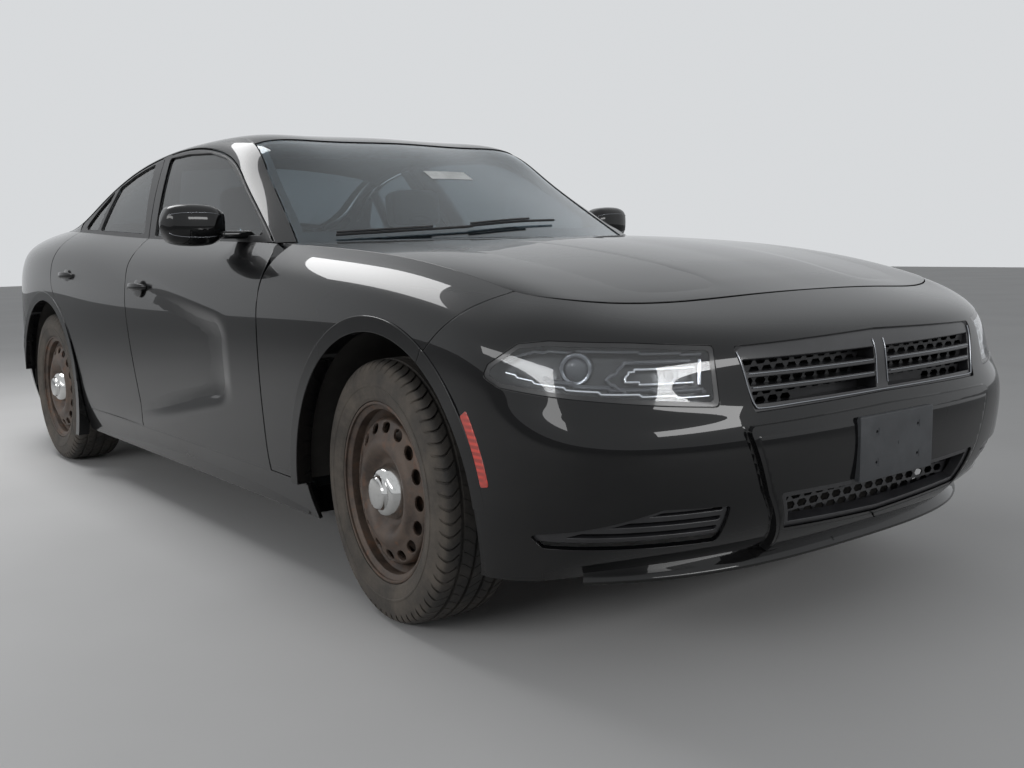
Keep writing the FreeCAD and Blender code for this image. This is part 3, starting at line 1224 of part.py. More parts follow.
def make_front_subframe():
    """Cross member, front rails, lower arms and struts of the front axle."""
    cross = box((FRONT_AXLE_X - 90, -400, 175), (FRONT_AXLE_X + 70, 400, 250))
    frame = cross
    for side in (LEFT, RIGHT):
        rail = box((FIREWALL_X + 14 + SEAT_CLEARANCE, 400, 480), (2330, 470, 600))
        leg = box((FRONT_AXLE_X - 80, 380, 240), (FRONT_AXLE_X + 60, 440, 500))
        arm = plan_prism([(FRONT_AXLE_X - 150, 370), (FRONT_AXLE_X + 150, 370),
                          (FRONT_AXLE_X + 40, UPRIGHT_Y + 30), (FRONT_AXLE_X - 40, UPRIGHT_Y + 30)], 196, 226, 24)
        for piece in (rail, leg, arm):
            frame = frame.fuse(on_side(piece, side))
    bumper_beam = box((2330, -560, 470), (2400, 560, 590))
    return largest(frame.fuse(bumper_beam))


def make_front_knuckle():
    """Left steering knuckle, square to the car: upright, stub axle, brake disc and steering arm."""
    upright = Part.makeCylinder(26, KNUCKLE_TOP_Z - KNUCKLE_LOW_Z, VEC(FRONT_AXLE_X, UPRIGHT_Y, KNUCKLE_LOW_Z))
    hub_face = FRONT_TRACK / 2 + RIM_WIDTH / 2 - DISC_FACE_OFFSET - DISC_THICKNESS - 2
    stub = cylinder_y(FRONT_AXLE_X, TYRE_RADIUS, STUB_RADIUS, UPRIGHT_Y, hub_face + 5)
    flange = cylinder_y(FRONT_AXLE_X, TYRE_RADIUS, HUB_FLANGE_RADIUS, hub_face - 14, hub_face - SEAT_CLEARANCE)
    rotor = cylinder_y(FRONT_AXLE_X, TYRE_RADIUS, 160, hub_face - 44, hub_face - 14)
    arm = box((FRONT_AXLE_X - 130, UPRIGHT_Y - 14, TYRE_RADIUS - 60), (FRONT_AXLE_X, UPRIGHT_Y + 14, TYRE_RADIUS - 20))
    return largest(upright.fuse(stub).fuse(flange).fuse(rotor).fuse(arm))


def make_rear_suspension():
    """Rear subframe with its arms, hubs and brake discs."""
    frame = box((REAR_AXLE_X - 120, -420, 222), (REAR_AXLE_X + 120, 420, 268))
    diff = front_prism([(-110, 240), (110, 240), (110, 392), (-110, 392)], REAR_AXLE_X - 150, REAR_AXLE_X + 190, 40)
    frame = frame.fuse(diff)
    hub_face = REAR_TRACK / 2 + RIM_WIDTH / 2 - DISC_FACE_OFFSET - DISC_THICKNESS - 2
    for side in (LEFT, RIGHT):
        shaft = cylinder_y(REAR_AXLE_X, TYRE_RADIUS, STUB_RADIUS, 100, hub_face + 6)
        flange = cylinder_y(REAR_AXLE_X, TYRE_RADIUS, HUB_FLANGE_RADIUS, hub_face - 14, hub_face - SEAT_CLEARANCE)
        rotor = cylinder_y(REAR_AXLE_X, TYRE_RADIUS, 160, hub_face - 40, hub_face - 14)
        carrier = box((REAR_AXLE_X - 40, 640, 250), (REAR_AXLE_X + 40, 690, 420))
        arm = plan_prism([(REAR_AXLE_X - 110, 400), (REAR_AXLE_X + 110, 400), (REAR_AXLE_X + 36, 680),
                          (REAR_AXLE_X - 36, 680)], 240, 266, 20)
        trailing = box((REAR_AXLE_X, 600, 250), (-1010, 640, 290))
        for piece in (shaft, flange, rotor, carrier, arm, trailing):
            frame = frame.fuse(on_side(piece, side))
    return largest(frame)


def make_liner(x, radius, y_inner, y_outer, low):
    """Left wheel arch liner: an arch with an inner wall."""
    arch = cylinder_y(x, TYRE_RADIUS, radius, y_inner, y_outer)
    arch = arch.cut(cylinder_y(x, TYRE_RADIUS, radius - LINER_THICKNESS, y_inner + LINER_THICKNESS, y_outer + 1))
    arch = arch.common(box((x - 700, 0, low), (x + 700, 1200, 1200)))
    opening = box((x - 170, y_inner - 10, 100), (x + 170, y_inner + 20, 660))
    return largest(arch.cut(opening))


def make_mirror():
    """Left door mirror: rounded shell on a short arm that meets the corner of the window frame."""
    sections = []
    for y, x0, x1, z0, z1 in MIRROR_SECTIONS:
        middle = (z0 + z1) / 2
        outline = [(x0 - 26, z0), (x0, middle - 6), (x0 - 22, z1), (x1 + 8, z1 - 6), (x1, middle), (x1 + 8, z0 + 6)]
        sections.append(outline_face([(x, y, z) for x, z in outline], 18).OuterWire)
    shell = Part.makeLoft(sections, True)
    arm = side_prism([(560, 1054), (440, 1050), (440, 1074), (540, 1086)], 760, 880, 8)
    arm = arm.cut(window_panel(FRAME_FRONT_X, -600, 60, -10, FRAME_STEP - SEAT_CLEARANCE, 90))
    return largest(shell.fuse(arm))


def main():
    os.makedirs("parts", exist_ok=True)
    doors = make_doors()
    save("front_door_left", doors["front_door"])
    save("front_door_right", on_right(doors["front_door"]))
    save("rear_door_left", doors["rear_door"])
    save("rear_door_right", on_right(doors["rear_door"]))
    front_pane = make_pane(FRONT_WINDOW, FRAME_FRONT_X, -600)
    rear_panes = [make_pane(window, -372, FRAME_REAR_X) for window in (REAR_WINDOW, QUARTER_WINDOW)]
    save("front_door_glass_left", front_pane)
    save("front_door_glass_right", on_right(front_pane))
    save("rear_door_glass_left", rear_panes)
    save("rear_door_glass_right", [on_right(pane) for pane in rear_panes])
    save("body_sides", both_sides(body_side()))
    save("front_wings", both_sides(make_fender()))
    save("front_bumper", make_front_fascia())
    save("headlamps", both_sides(make_headlamp()))
    save("grilles", [make_grille(), make_lower_grille()] + both_sides(make_vent()))
    save("plate_bracket", make_plate_bracket())
    save("hood", make_hood())
    lid, lid_lamp, corner_lamp = make_tail()
    save("boot_lid", lid)
    save("boot_lid_lamp", lid_lamp)
    save("tail_lamps", both_sides(corner_lamp))
    save("rear_bumper", make_rear_fascia())
    save("roof_panel", make_roof())
    save("fixed_glass", make_fixed_glass())
    save("floor_pan", make_floor())
    save("sills", both_sides(make_sills()))
    save("middle_pillars", both_sides(make_middle_pillars()))
    save("cabin_trim", [make_bulkhead(), make_parcel_shelf()])
    save("steering_wheel", make_steering_wheel())
    save("front_seats", both_sides(make_front_seat()))
    save("rear_bench", make_rear_bench())
    save("engine_block", make_engine())
    save("exhaust", make_exhaust())
    save("front_subframe", make_front_subframe())
    knuckle = make_front_knuckle()
    save("rear_suspension", make_rear_suspension())
    liners = both_sides(make_liner(ARCH_X, ARCH_RADIUS + 20, FRONT_LINER_Y, LINER_EDGE_Y, 330))
    liners += both_sides(make_liner(REAR_AXLE_X, REAR_ARCH_RADIUS + 12, REAR_LINER_Y, LINER_EDGE_Y, 330))
    save("wheel_liners", liners)
    mirror = make_mirror()
    save("mirror_left", mirror)
    save("mirror_right", on_right(mirror))
    tyre, wheel, cap = make_tyre(), make_wheel(), make_cap()
    for side, name in ((LEFT, "left"), (RIGHT, "right")):
        pivot = VEC(FRONT_AXLE_X, side * KINGPIN_Y, 0)
        turned = on_side(knuckle, side).copy()
        turned.rotate(pivot, VEC(0, 0, 1), REST_STEER)
        save("front_knuckle_" + name, turned)
        for axle, x, track in (("front", FRONT_AXLE_X, FRONT_TRACK), ("rear", REAR_AXLE_X, REAR_TRACK)):
            for label, group in (("wheel", [wheel, cap]), ("tyre", [tyre])):
                shapes = []
                for piece in group:
                    shape = placed(on_side(piece, side), x, side * track / 2, TYRE_RADIUS)
                    if axle == "front":
                        shape.rotate(pivot, VEC(0, 0, 1), REST_STEER)
                    shapes.append(shape)
                save("_".join((axle, label, name)), shapes)


if __name__ == "__main__":
    main()
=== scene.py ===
# %% [markdown]
# # A patrol saloon car in gloss black
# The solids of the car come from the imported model. This notebook dresses them: smooth painted skins
# over the solids, glass, lamps, grilles, steel wheels with dusty tyres, and a plain studio.
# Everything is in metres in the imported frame: +X forward, +Y the car's left, +Z up.

# %% Load the frame
import json
import math

import bmesh
import bpy
import numpy as np
from mathutils import Matrix, Vector

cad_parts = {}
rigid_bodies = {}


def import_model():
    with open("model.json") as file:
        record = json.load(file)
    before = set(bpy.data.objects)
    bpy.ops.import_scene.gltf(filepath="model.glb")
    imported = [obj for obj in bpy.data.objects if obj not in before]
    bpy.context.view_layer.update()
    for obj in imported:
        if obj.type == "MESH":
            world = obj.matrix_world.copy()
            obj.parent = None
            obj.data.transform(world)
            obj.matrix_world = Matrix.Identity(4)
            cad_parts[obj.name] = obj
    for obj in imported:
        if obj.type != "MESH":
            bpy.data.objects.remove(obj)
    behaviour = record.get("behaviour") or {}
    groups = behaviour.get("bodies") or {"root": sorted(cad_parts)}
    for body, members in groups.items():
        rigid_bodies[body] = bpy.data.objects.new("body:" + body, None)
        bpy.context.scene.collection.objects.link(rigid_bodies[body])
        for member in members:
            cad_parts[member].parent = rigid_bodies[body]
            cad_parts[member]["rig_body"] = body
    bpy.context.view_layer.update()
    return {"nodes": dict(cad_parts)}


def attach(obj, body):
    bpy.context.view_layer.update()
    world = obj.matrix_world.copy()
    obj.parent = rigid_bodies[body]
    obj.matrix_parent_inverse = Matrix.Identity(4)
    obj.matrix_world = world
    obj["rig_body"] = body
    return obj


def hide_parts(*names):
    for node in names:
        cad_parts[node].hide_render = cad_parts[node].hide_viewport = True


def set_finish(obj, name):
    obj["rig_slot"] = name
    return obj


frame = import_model()
MM = 0.001
SIDES = (("left", 1), ("right", -1))


def unit(vectors):
    """Each vector scaled to a length of one."""
    return vectors / np.maximum(np.linalg.norm(vectors, axis=-1, keepdims=True), 1e-9)


def count_of(word):
    """How many objects have this word in their name."""
    return sum(word in piece.name for piece in bpy.data.objects)


# %% [markdown]
# ## Camera
# The photograph looks at the front right corner from about a metre above the ground.
# The camera stands where the sight lines of the wheels, lamps and roof meet.

# %% Camera
CAMERA_PLACE = Vector((4.0138, -2.3672, 1.0226))
CAMERA_YAW, CAMERA_PITCH, CAMERA_ROLL = (math.radians(angle) for angle in (52.043, -7.5173, -1.0204))
CAMERA_LENS, FILM_WIDTH = 37.70, 36


def camera_matrix():
    """Place and turn of the camera from its yaw, pitch and roll."""
    level = math.cos(CAMERA_PITCH)
    ahead = Vector((-math.sin(CAMERA_YAW) * level, math.cos(CAMERA_YAW) * level, math.sin(CAMERA_PITCH)))
    right = ahead.cross(Vector((0, 0, 1))).normalized()
    up = right.cross(ahead)
    tilted_right = right * math.cos(CAMERA_ROLL) + up * math.sin(CAMERA_ROLL)
    tilted_up = up * math.cos(CAMERA_ROLL) - right * math.sin(CAMERA_ROLL)
    turn = Matrix((tilted_right, tilted_up, -ahead)).transposed().to_4x4()
    return Matrix.Translation(CAMERA_PLACE) @ turn


camera = bpy.data.objects.new("camera", bpy.data.cameras.new("camera"))
camera.data.lens = CAMERA_LENS
camera.data.sensor_width = FILM_WIDTH
camera.data.clip_end = 200
camera.matrix_world = camera_matrix()
bpy.context.scene.collection.objects.link(camera)
bpy.context.scene.camera = camera
print("camera", [round(c, 3) for c in CAMERA_PLACE], "lens", CAMERA_LENS)

# %% [markdown]
# ## The smooth surfaces of the body
# A car body is drawn as a few smooth surfaces, and every panel is a piece of one. The lower body is a
# closed surface round the car through nine rails, and the roof and its glass are one surface above it.
# Both are cubic splines, worked out here from the same rails as the solids, in millimetres.

# %% Rails of the lower body, from the middle of the nose round the left side to the tail
TOP_RAIL = [
    (2292, 0, 888), (2286, 260, 884), (2262, 480, 872), (2205, 655, 874), (2140, 765, 890),
    (2035, 806, 902), (1890, 812, 940), (1560, 812, 994), (1100, 808, 1020), (600, 803, 1040),
    (0, 800, 1050), (-600, 800, 1070), (-1100, 800, 1096), (-1472, 782, 1112), (-1850, 704, 1118),
    (-2170, 656, 1112), (-2390, 580, 1098), (-2444, 330, 1094), (-2447, 0, 1094)]
SHOULDER_RAIL = [
    (2385, 0, 852), (2380, 270, 848), (2348, 520, 842), (2275, 720, 846), (2180, 842, 862),
    (2050, 884, 872), (1900, 896, 908), (1560, 902, 952), (1100, 893, 975), (600, 884, 990),
    (0, 880, 1000), (-600, 884, 1016), (-1100, 894, 1040), (-1472, 902, 1058), (-1850, 880, 1064),
    (-2190, 810, 1062), (-2430, 650, 1060), (-2479, 340, 1062), (-2483, 0, 1062)]
CREST_RAIL = [
    (2474, 0, 802), (2468, 280, 802), (2425, 560, 806), (2320, 775, 806), (2195, 890, 812),
    (2060, 936, 828), (1900, 946, 850), (1560, 948, 880), (1100, 938, 890), (600, 930, 895),
    (0, 930, 905), (-600, 936, 915), (-1100, 947, 930), (-1472, 951, 950), (-1850, 940, 960),
    (-2200, 866, 965), (-2449, 680, 968), (-2496, 350, 972), (-2498, 0, 972)]
UPPER_RAIL = [
    (2488, 0, 720), (2482, 285, 720), (2440, 580, 722), (2330, 800, 722), (2205, 910, 735),
    (2065, 949, 760), (1900, 950, 770), (1560, 950, 790), (1100, 944, 790), (600, 938, 780),
    (0, 940, 780), (-600, 946, 790), (-1100, 950, 800), (-1472, 953, 820), (-1850, 948, 830),
    (-2205, 880, 840), (-2453, 690, 850), (-2498, 355, 855), (-2502, 0, 855)]
LEDGE_RAIL = [
    (2492, 0, 640), (2488, 285, 640), (2452, 590, 640), (2345, 815, 642), (2220, 915, 655),
    (2068, 949, 680), (1900, 950, 690), (1560, 950, 700), (1100, 943, 690), (600, 936, 670),
    (0, 938, 665), (-600, 944, 675), (-1100, 949, 690), (-1472, 951, 710), (-1850, 948, 720),
    (-2210, 885, 730), (-2459, 700, 740), (-2507, 360, 742), (-2511, 0, 742)]
BUMPER_RAIL = [
    (2512, 0, 598), (2508, 285, 598), (2476, 600, 600), (2372, 826, 604), (2240, 918, 612),
    (2070, 948, 628), (1900, 949, 630), (1560, 948, 630), (1100, 940, 600), (600, 932, 560),
    (0, 934, 550), (-600, 940, 560), (-1100, 947, 590), (-1472, 950, 620), (-1850, 947, 640),
    (-2215, 888, 650), (-2470, 705, 655), (-2519, 365, 655), (-2523, 0, 655)]
FACE_RAIL = [
    (2516, 0, 480), (2512, 285, 480), (2476, 600, 482), (2370, 828, 484), (2235, 920, 490),
    (2070, 947, 500), (1900, 948, 500), (1560, 947, 490), (1100, 934, 460), (600, 924, 430),
    (0, 926, 425), (-600, 932, 430), (-1100, 942, 460), (-1472, 948, 490), (-1850, 945, 510),
    (-2210, 885, 520), (-2464, 700, 520), (-2514, 365, 520), (-2517, 0, 520)]
LOW_RAIL = [
    (2490, 0, 340), (2486, 280, 340), (2452, 585, 342), (2348, 812, 346), (2215, 912, 350),
    (2060, 940, 352), (1900, 942, 350), (1560, 940, 345), (1100, 926, 320), (600, 915, 300),
    (0, 917, 300), (-600, 922, 305), (-1100, 934, 320), (-1472, 940, 350), (-1850, 936, 370),
    (-2195, 875, 375), (-2444, 690, 375), (-2492, 360, 375), (-2495, 0, 375)]
FOOT_RAIL = [
    (2400, 0, 282), (2396, 280, 282), (2354, 540, 280), (2250, 738, 264), (2154, 856, 242),
    (2045, 915, 240), (1900, 915, 235), (1560, 912, 225), (1100, 892, 208), (600, 882, 203),
    (0, 884, 203), (-600, 890, 205), (-1100, 902, 210), (-1472, 910, 230), (-1850, 905, 250),
    (-2170, 845, 260), (-2400, 665, 262), (-2450, 345, 262), (-2454, 0, 262)]
SIDE_RAILS = [FOOT_RAIL, LOW_RAIL, FACE_RAIL, BUMPER_RAIL, LEDGE_RAIL, UPPER_RAIL,
              CREST_RAIL, SHOULDER_RAIL, TOP_RAIL]
BELT_V = float(len(SIDE_RAILS) - 3)
TAIL_U = float(len(TOP_RAIL) - 1)

# %% Rails of the roof, from the foot of the windscreen to the boot lid
DOOR_LINE = [
    (775, 803, 1030), (608, 763, 1126), (352, 713, 1253), (191, 664, 1371), (-244, 639, 1438),
    (-664, 645, 1408), (-992, 663, 1350), (-1236, 723, 1239), (-1397, 790, 1113), (-1850, 704, 1118)]
GLASS_LINE = [
    (775, 772, 1029), (590, 714, 1164), (377, 669, 1320), (282, 621, 1473), (-157, 615, 1456),
    (-678, 627, 1432), (-985, 640, 1385), (-1250, 679, 1281), (-1518, 715, 1175), (-1840, 720, 1117)]
QUARTER_LINE = [
    (1010, 420, 1036), (790, 390, 1148), (520, 360, 1302), (220, 335, 1452), (-260, 320, 1476),
    (-650, 320, 1464), (-970, 330, 1425), (-1285, 360, 1324), (-1570, 390, 1200), (-1770, 410, 1122)]
CENTRE_LINE = [
    (1088, 0, 1042), (870, 0, 1150), (570, 0, 1308), (245, 0, 1472), (-260, 0, 1484),
    (-650, 0, 1472), (-965, 0, 1434), (-1290, 0, 1334), (-1590, 0, 1206), (-1750, 0, 1130)]
SCREEN_V = 0.30
HEADER_X, BACKLIGHT_TOP_X = 265, -955


# %% Spline surfaces
def clamped_weights(count, ts):
    """Cubic spline weights with clamped ends: one row per parameter, one column per pole."""
    knots = np.concatenate([[0] * 3, np.arange(count - 2), [count - 3] * 3]).astype(float)
    ts = np.clip(np.asarray(ts, float), 0, count - 3 - 1e-9)[:, None]
    weights = ((knots[:-1] <= ts) & (ts < knots[1:])).astype(float)
    for degree in (1, 2, 3):
        rise, fall = np.zeros_like(weights[:, :-1]), np.zeros_like(weights[:, :-1])
        for i in range(weights.shape[1] - 1):
            low, high = knots[i + degree] - knots[i], knots[i + degree + 1] - knots[i + 1]
            if low > 0:
                rise[:, i] = (ts[:, 0] - knots[i]) / low
            if high > 0:
                fall[:, i] = (knots[i + degree + 1] - ts[:, 0]) / high
        weights = rise * weights[:, :-1] + fall * weights[:, 1:]
    return weights


def closed_weights(count, us):
    """Cubic spline weights on a closed row of poles."""
    us = np.asarray(us, float)
    first = np.floor(us).astype(int)
    t = us - first
    basis = [(1 - t) ** 3 / 6, (3 * t ** 3 - 6 * t ** 2 + 4) / 6,
             (-3 * t ** 3 + 3 * t ** 2 + 3 * t + 1) / 6, t ** 3 / 6]
    weights = np.zeros((len(us), count))
    for offset, share in zip((-1, 0, 1, 2), basis):
        weights[np.arange(len(us)), (first + offset) % count] += share
    return weights


def flip(rail):
    return [(x, -y, z) for x, y, z in rail]


SIDE_POLES = np.array([rail + flip(rail[-2:0:-1]) for rail in SIDE_RAILS], float).transpose(1, 0, 2)
ROOF_LINES = [DOOR_LINE, GLASS_LINE, QUARTER_LINE, CENTRE_LINE]
ROOF_POLES = np.array(ROOF_LINES + [flip(line) for line in ROOF_LINES[2::-1]], float).transpose(1, 0, 2)
ROOF_U = float(len(DOOR_LINE) - 3)


def side_points(us, vs):
    """Points of the lower body for pairs of parameters."""
    across = closed_weights(SIDE_POLES.shape[0], us)
    up = clamped_weights(SIDE_POLES.shape[1], vs)
    return np.einsum("nk,nl,klc->nc", across, up, SIDE_POLES)


def roof_points(us, vs):
    """Points of the roof for pairs of parameters."""
    across = clamped_weights(ROOF_POLES.shape[0], us)
    up = clamped_weights(ROOF_POLES.shape[1], vs)
    return np.einsum("nk,nl,klc->nc", across, up, ROOF_POLES)


# Normals point away from a spine that runs along the middle of the car.
SPINE_X, SPINE_Z, TINY = 1500, 500, 1e-4


def grid_of(points, u_range, v_range, shape):
    """Grid of points of a surface between two limits each way, with its outward normals."""
    us, vs = np.linspace(*u_range, shape[0]), np.linspace(*v_range, shape[1])
    uu, vv = [axis.ravel() for axis in np.meshgrid(us, vs, indexing="ij")]
    place = points(uu, vv)
    along = points(uu + TINY, vv) - points(uu - TINY, vv)
    over = points(uu, np.minimum(vv + TINY, max(v_range))) - points(uu, np.maximum(vv - TINY, min(v_range)))
    normal = unit(np.cross(along, over))
    flat = 0 * place[:, 0]
    centre = np.stack([np.clip(place[:, 0], -SPINE_X, SPINE_X), flat, flat + SPINE_Z], 1)
    normal *= np.sign(np.einsum("nc,nc->n", normal, place - centre))[:, None]
    return place.reshape(*shape, 3), normal.reshape(*shape, 3)


LINE_COUNT = 1200
BELT_SAMPLES = side_points(np.linspace(4.9, 16, LINE_COUNT), np.full(LINE_COUNT, BELT_V))
DOOR_SAMPLES = roof_points(np.linspace(0, ROOF_U, LINE_COUNT), np.zeros(LINE_COUNT))


def on_curve(samples, x):
    """Points at these x on a sampled curve that runs backwards."""
    back = samples[::-1]
    return np.stack([np.asarray(x, float)] + [np.interp(x, back[:, 0], back[:, k]) for k in (1, 2)], -1)


def belt(x):
    """Points of the belt line, where the body ends and the windows start, at these x."""
    return on_curve(BELT_SAMPLES, x)


WINDOW_BOW, WINDOW_RISE = 7, 330


def window_points(xs, ws, depth=0.0):
    """Side of the cabin above the belt: w runs from the belt to the roof rail."""
    low, high = belt(xs), on_curve(DOOR_SAMPLES, xs)
    rise = high - low
    size = np.linalg.norm(rise, axis=1)
    normal = np.stack([0 * size, rise[:, 2], -rise[:, 1]], 1) / np.maximum(size, 1e-9)[:, None]
    bow = np.where(ws > 0, 4 * WINDOW_BOW * ws * (1 - ws) * np.minimum(1, size / WINDOW_RISE), 0)
    point = low + rise * ws[:, None] + normal * (bow - depth)[:, None]
    return np.stack([xs, point[:, 1], point[:, 2]], 1)


print("door line at x=0", on_curve(DOOR_SAMPLES, [0.0]).round(1))

# %% [markdown]
# ## Shader maths
# Every finish here is procedural. A small class wraps a socket, so a mask is written as plain maths and
# each operator adds its own Math node. Any other node comes from one method.

# %% Shader helpers
class Wire:
    """An output socket that can be used in an expression."""

    def __init__(self, shader, socket):
        self.shader, self.socket = shader, socket

    def math(self, operation, *others):
        return self.shader.add("ShaderNodeMath", {"operation": operation}, [self, *others])

    def __add__(self, other):
        return self.math("ADD", other)

    def __mul__(self, other):
        return self.math("MULTIPLY", other)

    def __sub__(self, other):
        return self.math("SUBTRACT", other)

    def __truediv__(self, other):
        return self.math("DIVIDE", other)

    def __rsub__(self, other):
        return self.shader.add("ShaderNodeMath", {"operation": "SUBTRACT"}, [other, self])

    __radd__, __rmul__ = __add__, __mul__

    def step(self, low, high):
        """Smooth step between two values."""
        settings = {"interpolation_type": "SMOOTHSTEP"}
        return self.shader.add("ShaderNodeMapRange", settings, [self, low, high, 0.0, 1.0])


class Shader:
    """A material built round one Principled BSDF."""

    def __init__(self, name, **constants):
        self.material = bpy.data.materials.new(name)
        self.material.use_nodes = True
        self.nodes, self.links = self.material.node_tree.nodes, self.material.node_tree.links
        self.principled = self.nodes["Principled BSDF"]
        self.set(**constants)
        self._place = None

    def add(self, kind, settings=None, inputs=(), output=0):
        node = self.nodes.new(kind)
        for key, value in (settings or {}).items():
            setattr(node, key, value)
        pairs = inputs.items() if isinstance(inputs, dict) else enumerate(inputs)
        for key, value in pairs:
            self.join(node.inputs[key], value)
        return Wire(self, node.outputs[output])

    def join(self, socket, value):
        if isinstance(value, Wire):
            self.links.new(value.socket, socket)
        else:
            socket.default_value = value if isinstance(value, (int, float)) else tuple(value)

    def set(self, **sockets):
        for key, value in sockets.items():
            if isinstance(value, tuple) and len(value) == 3:
                value = (*value, 1.0)
            self.join(self.principled.inputs[key.replace("_", " ")], value)
        return self

    def place(self):
        if self._place is None:
            self._place = self.add("ShaderNodeTexCoord", output="Object")
        return self._place

    def noise(self, scale, detail=3.0, rough=0.5):
        sockets = {"Vector": self.place(), "Scale": scale, "Detail": detail, "Roughness": rough}
        return self.add("ShaderNodeTexNoise", None, sockets)

    def axis(self, name):
        return self.add("ShaderNodeSeparateXYZ", None, [self.place()], output=name)

    def blend(self, share, one, other):
        node = {"data_type": "RGBA"}
        colours = [c if isinstance(c, Wire) else (*c, 1.0) for c in (one, other)]
        return self.add("ShaderNodeMix", node, {0: share, 6: colours[0], 7: colours[1]}, output=2)

    def bump(self, height, distance):
        sockets = {"Height": height, "Distance": distance, "Strength": 1.0}
        self.set(Normal=self.add("ShaderNodeBump", None, sockets))


# %% [markdown]
# ## Finishes
# The paint is black under clear coat. Its only variation is what a parked car shows: a thin, uneven film
# of dust that thickens towards the sills. The steel wheels wear brown brake dust, and the tyres are grey
# with road dust, most of it on the sidewalls.

# %% Paint
def gloss_paint():
    s = Shader("black_paint", Coat_Weight=0.80, Coat_Roughness=0.012, Specular_IOR_Level=0.05)
    film = s.noise(3.0, 5.0, 0.6).step(0.42, 0.80)
    low = 1 - s.axis("Z").step(0.18, 0.50)
    dust = film * 0.03 + low * film * 0.22
    s.set(Base_Color=s.blend(dust, (0.0030, 0.0031, 0.0036), (0.045, 0.040, 0.034)))
    s.set(Roughness=0.30 + dust * 0.5)
    return s.material


def satin(name, colour, rough, grain=0.0, scale=900.0, coat=0.0):
    """Moulded plastic or satin trim: a touch of cloudiness and, if asked, a fine grain."""
    s = Shader(name, Coat_Weight=coat, Coat_Roughness=0.08)
    cloud = s.noise(14.0, 4.0, 0.6)
    s.set(Base_Color=s.blend(cloud.step(0.35, 0.75), colour, tuple(c * 1.35 + 0.004 for c in colour)))
    s.set(Roughness=rough + cloud * 0.12)
    if grain:
        s.bump(s.noise(scale, 2.0, 0.5), grain)
    return s.material


def bright_metal(name, colour, rough, scuff=0.12):
    s = Shader(name, Metallic=1.0)
    marks = s.noise(60.0, 6.0, 0.7)
    s.set(Base_Color=s.blend(marks.step(0.5, 0.8), colour, tuple(c * 0.72 for c in colour)))
    s.set(Roughness=rough + marks.step(0.45, 0.85) * scuff)
    return s.material


def rusty_metal(name, metal, rust, amount, rough=0.55, grain=0.0004):
    s = Shader(name, Metallic=0.35)
    patches = s.noise(22.0, 8.0, 0.65)
    share = patches.step(0.62 - amount * 0.5, 0.78 - amount * 0.3)
    s.set(Base_Color=s.blend(share, metal, rust), Roughness=rough + share * 0.25)
    s.bump(s.noise(160.0, 5.0, 0.6) + share * 0.6, grain)
    return s.material


def wheel_finish():
    """Black enamel under baked brown brake dust, with rust in patches."""
    s = Shader("wheel_steel")
    grime = s.noise(11.0, 8.0, 0.62)
    share = (grime * 0.7 + s.noise(60.0, 6.0, 0.7) * 0.3).step(0.34, 0.62)
    rust = s.noise(26.0, 7.0, 0.68).step(0.52, 0.66)
    brown = s.blend(rust, (0.125, 0.092, 0.072), (0.185, 0.098, 0.060))
    s.set(Base_Color=s.blend(share, (0.050, 0.038, 0.032), brown), Roughness=0.36 + share * 0.22)
    s.set(Metallic=0.25)
    s.bump(s.noise(240.0, 4.0, 0.6), 0.0003)
    return s.material


RING_PITCH = 2400.0


def rubber():
    """Tyre rubber: dust lies on the sidewall, and fine rings are moulded round it."""
    s = Shader("tyre_rubber")
    wall = s.add("ShaderNodeAttribute", {"attribute_name": "sidewall"}, output="Fac")
    ring = s.add("ShaderNodeAttribute", {"attribute_name": "ring"}, output="Fac")
    dust = s.noise(9.0, 6.0, 0.65).step(0.30, 0.74)
    specks = s.noise(120.0, 4.0, 0.7).step(0.5, 0.8)
    share = dust * 0.30 + specks * 0.15 + wall * (0.22 + dust * 0.35)
    s.set(Base_Color=s.blend(share, (0.018, 0.0175, 0.017), (0.150, 0.128, 0.106)))
    s.set(Roughness=0.66 + share * 0.2)
    rings = (ring * RING_PITCH).math("SINE") * wall
    s.bump(s.noise(300.0, 3.0, 0.5) * 0.5 + rings * 0.6, 0.0004)
    return s.material


def glass(name, tint, rough=0.0, film=0.0):
    s = Shader(name, Transmission_Weight=1.0, IOR=1.5, Roughness=rough)
    haze = s.noise(5.0, 5.0, 0.6).step(0.4, 0.8)
    s.set(Base_Color=s.blend(haze * 0.25, tint, tuple(c * 0.8 for c in tint)), Roughness=rough + haze * film)
    return s.material


OPTICS_PITCH, THREAD_PITCH = 420.0, 2600.0


def lens_plastic(name, colour, depth=0.35):
    """Coloured lens with a clear top coat and small optics moulded inside."""
    s = Shader(name, Coat_Weight=1.0, Coat_Roughness=0.02, Roughness=0.25, Specular_IOR_Level=0.6)
    cells = (s.axis("Y") * OPTICS_PITCH).math("SINE") * (s.axis("Z") * OPTICS_PITCH).math("SINE")
    s.set(Base_Color=s.blend(cells.step(-0.6, 0.9), tuple(c * depth for c in colour), colour))
    s.bump(cells, 0.0004)
    return s.material


def cloth(name, colour):
    """Woven seat cloth: two crossed rows of threads and a little colour change."""
    s = Shader(name, Sheen_Weight=0.4, Roughness=0.9)
    warp = (s.axis("X") * THREAD_PITCH).math("SINE")
    weft = ((s.axis("Y") + s.axis("Z")) * THREAD_PITCH).math("SINE")
    s.set(Base_Color=s.blend(s.noise(7.0, 4.0, 0.6).step(0.3, 0.8), colour, tuple(c * 1.7 for c in colour)))
    s.bump(warp * weft, 0.0004)
    return s.material


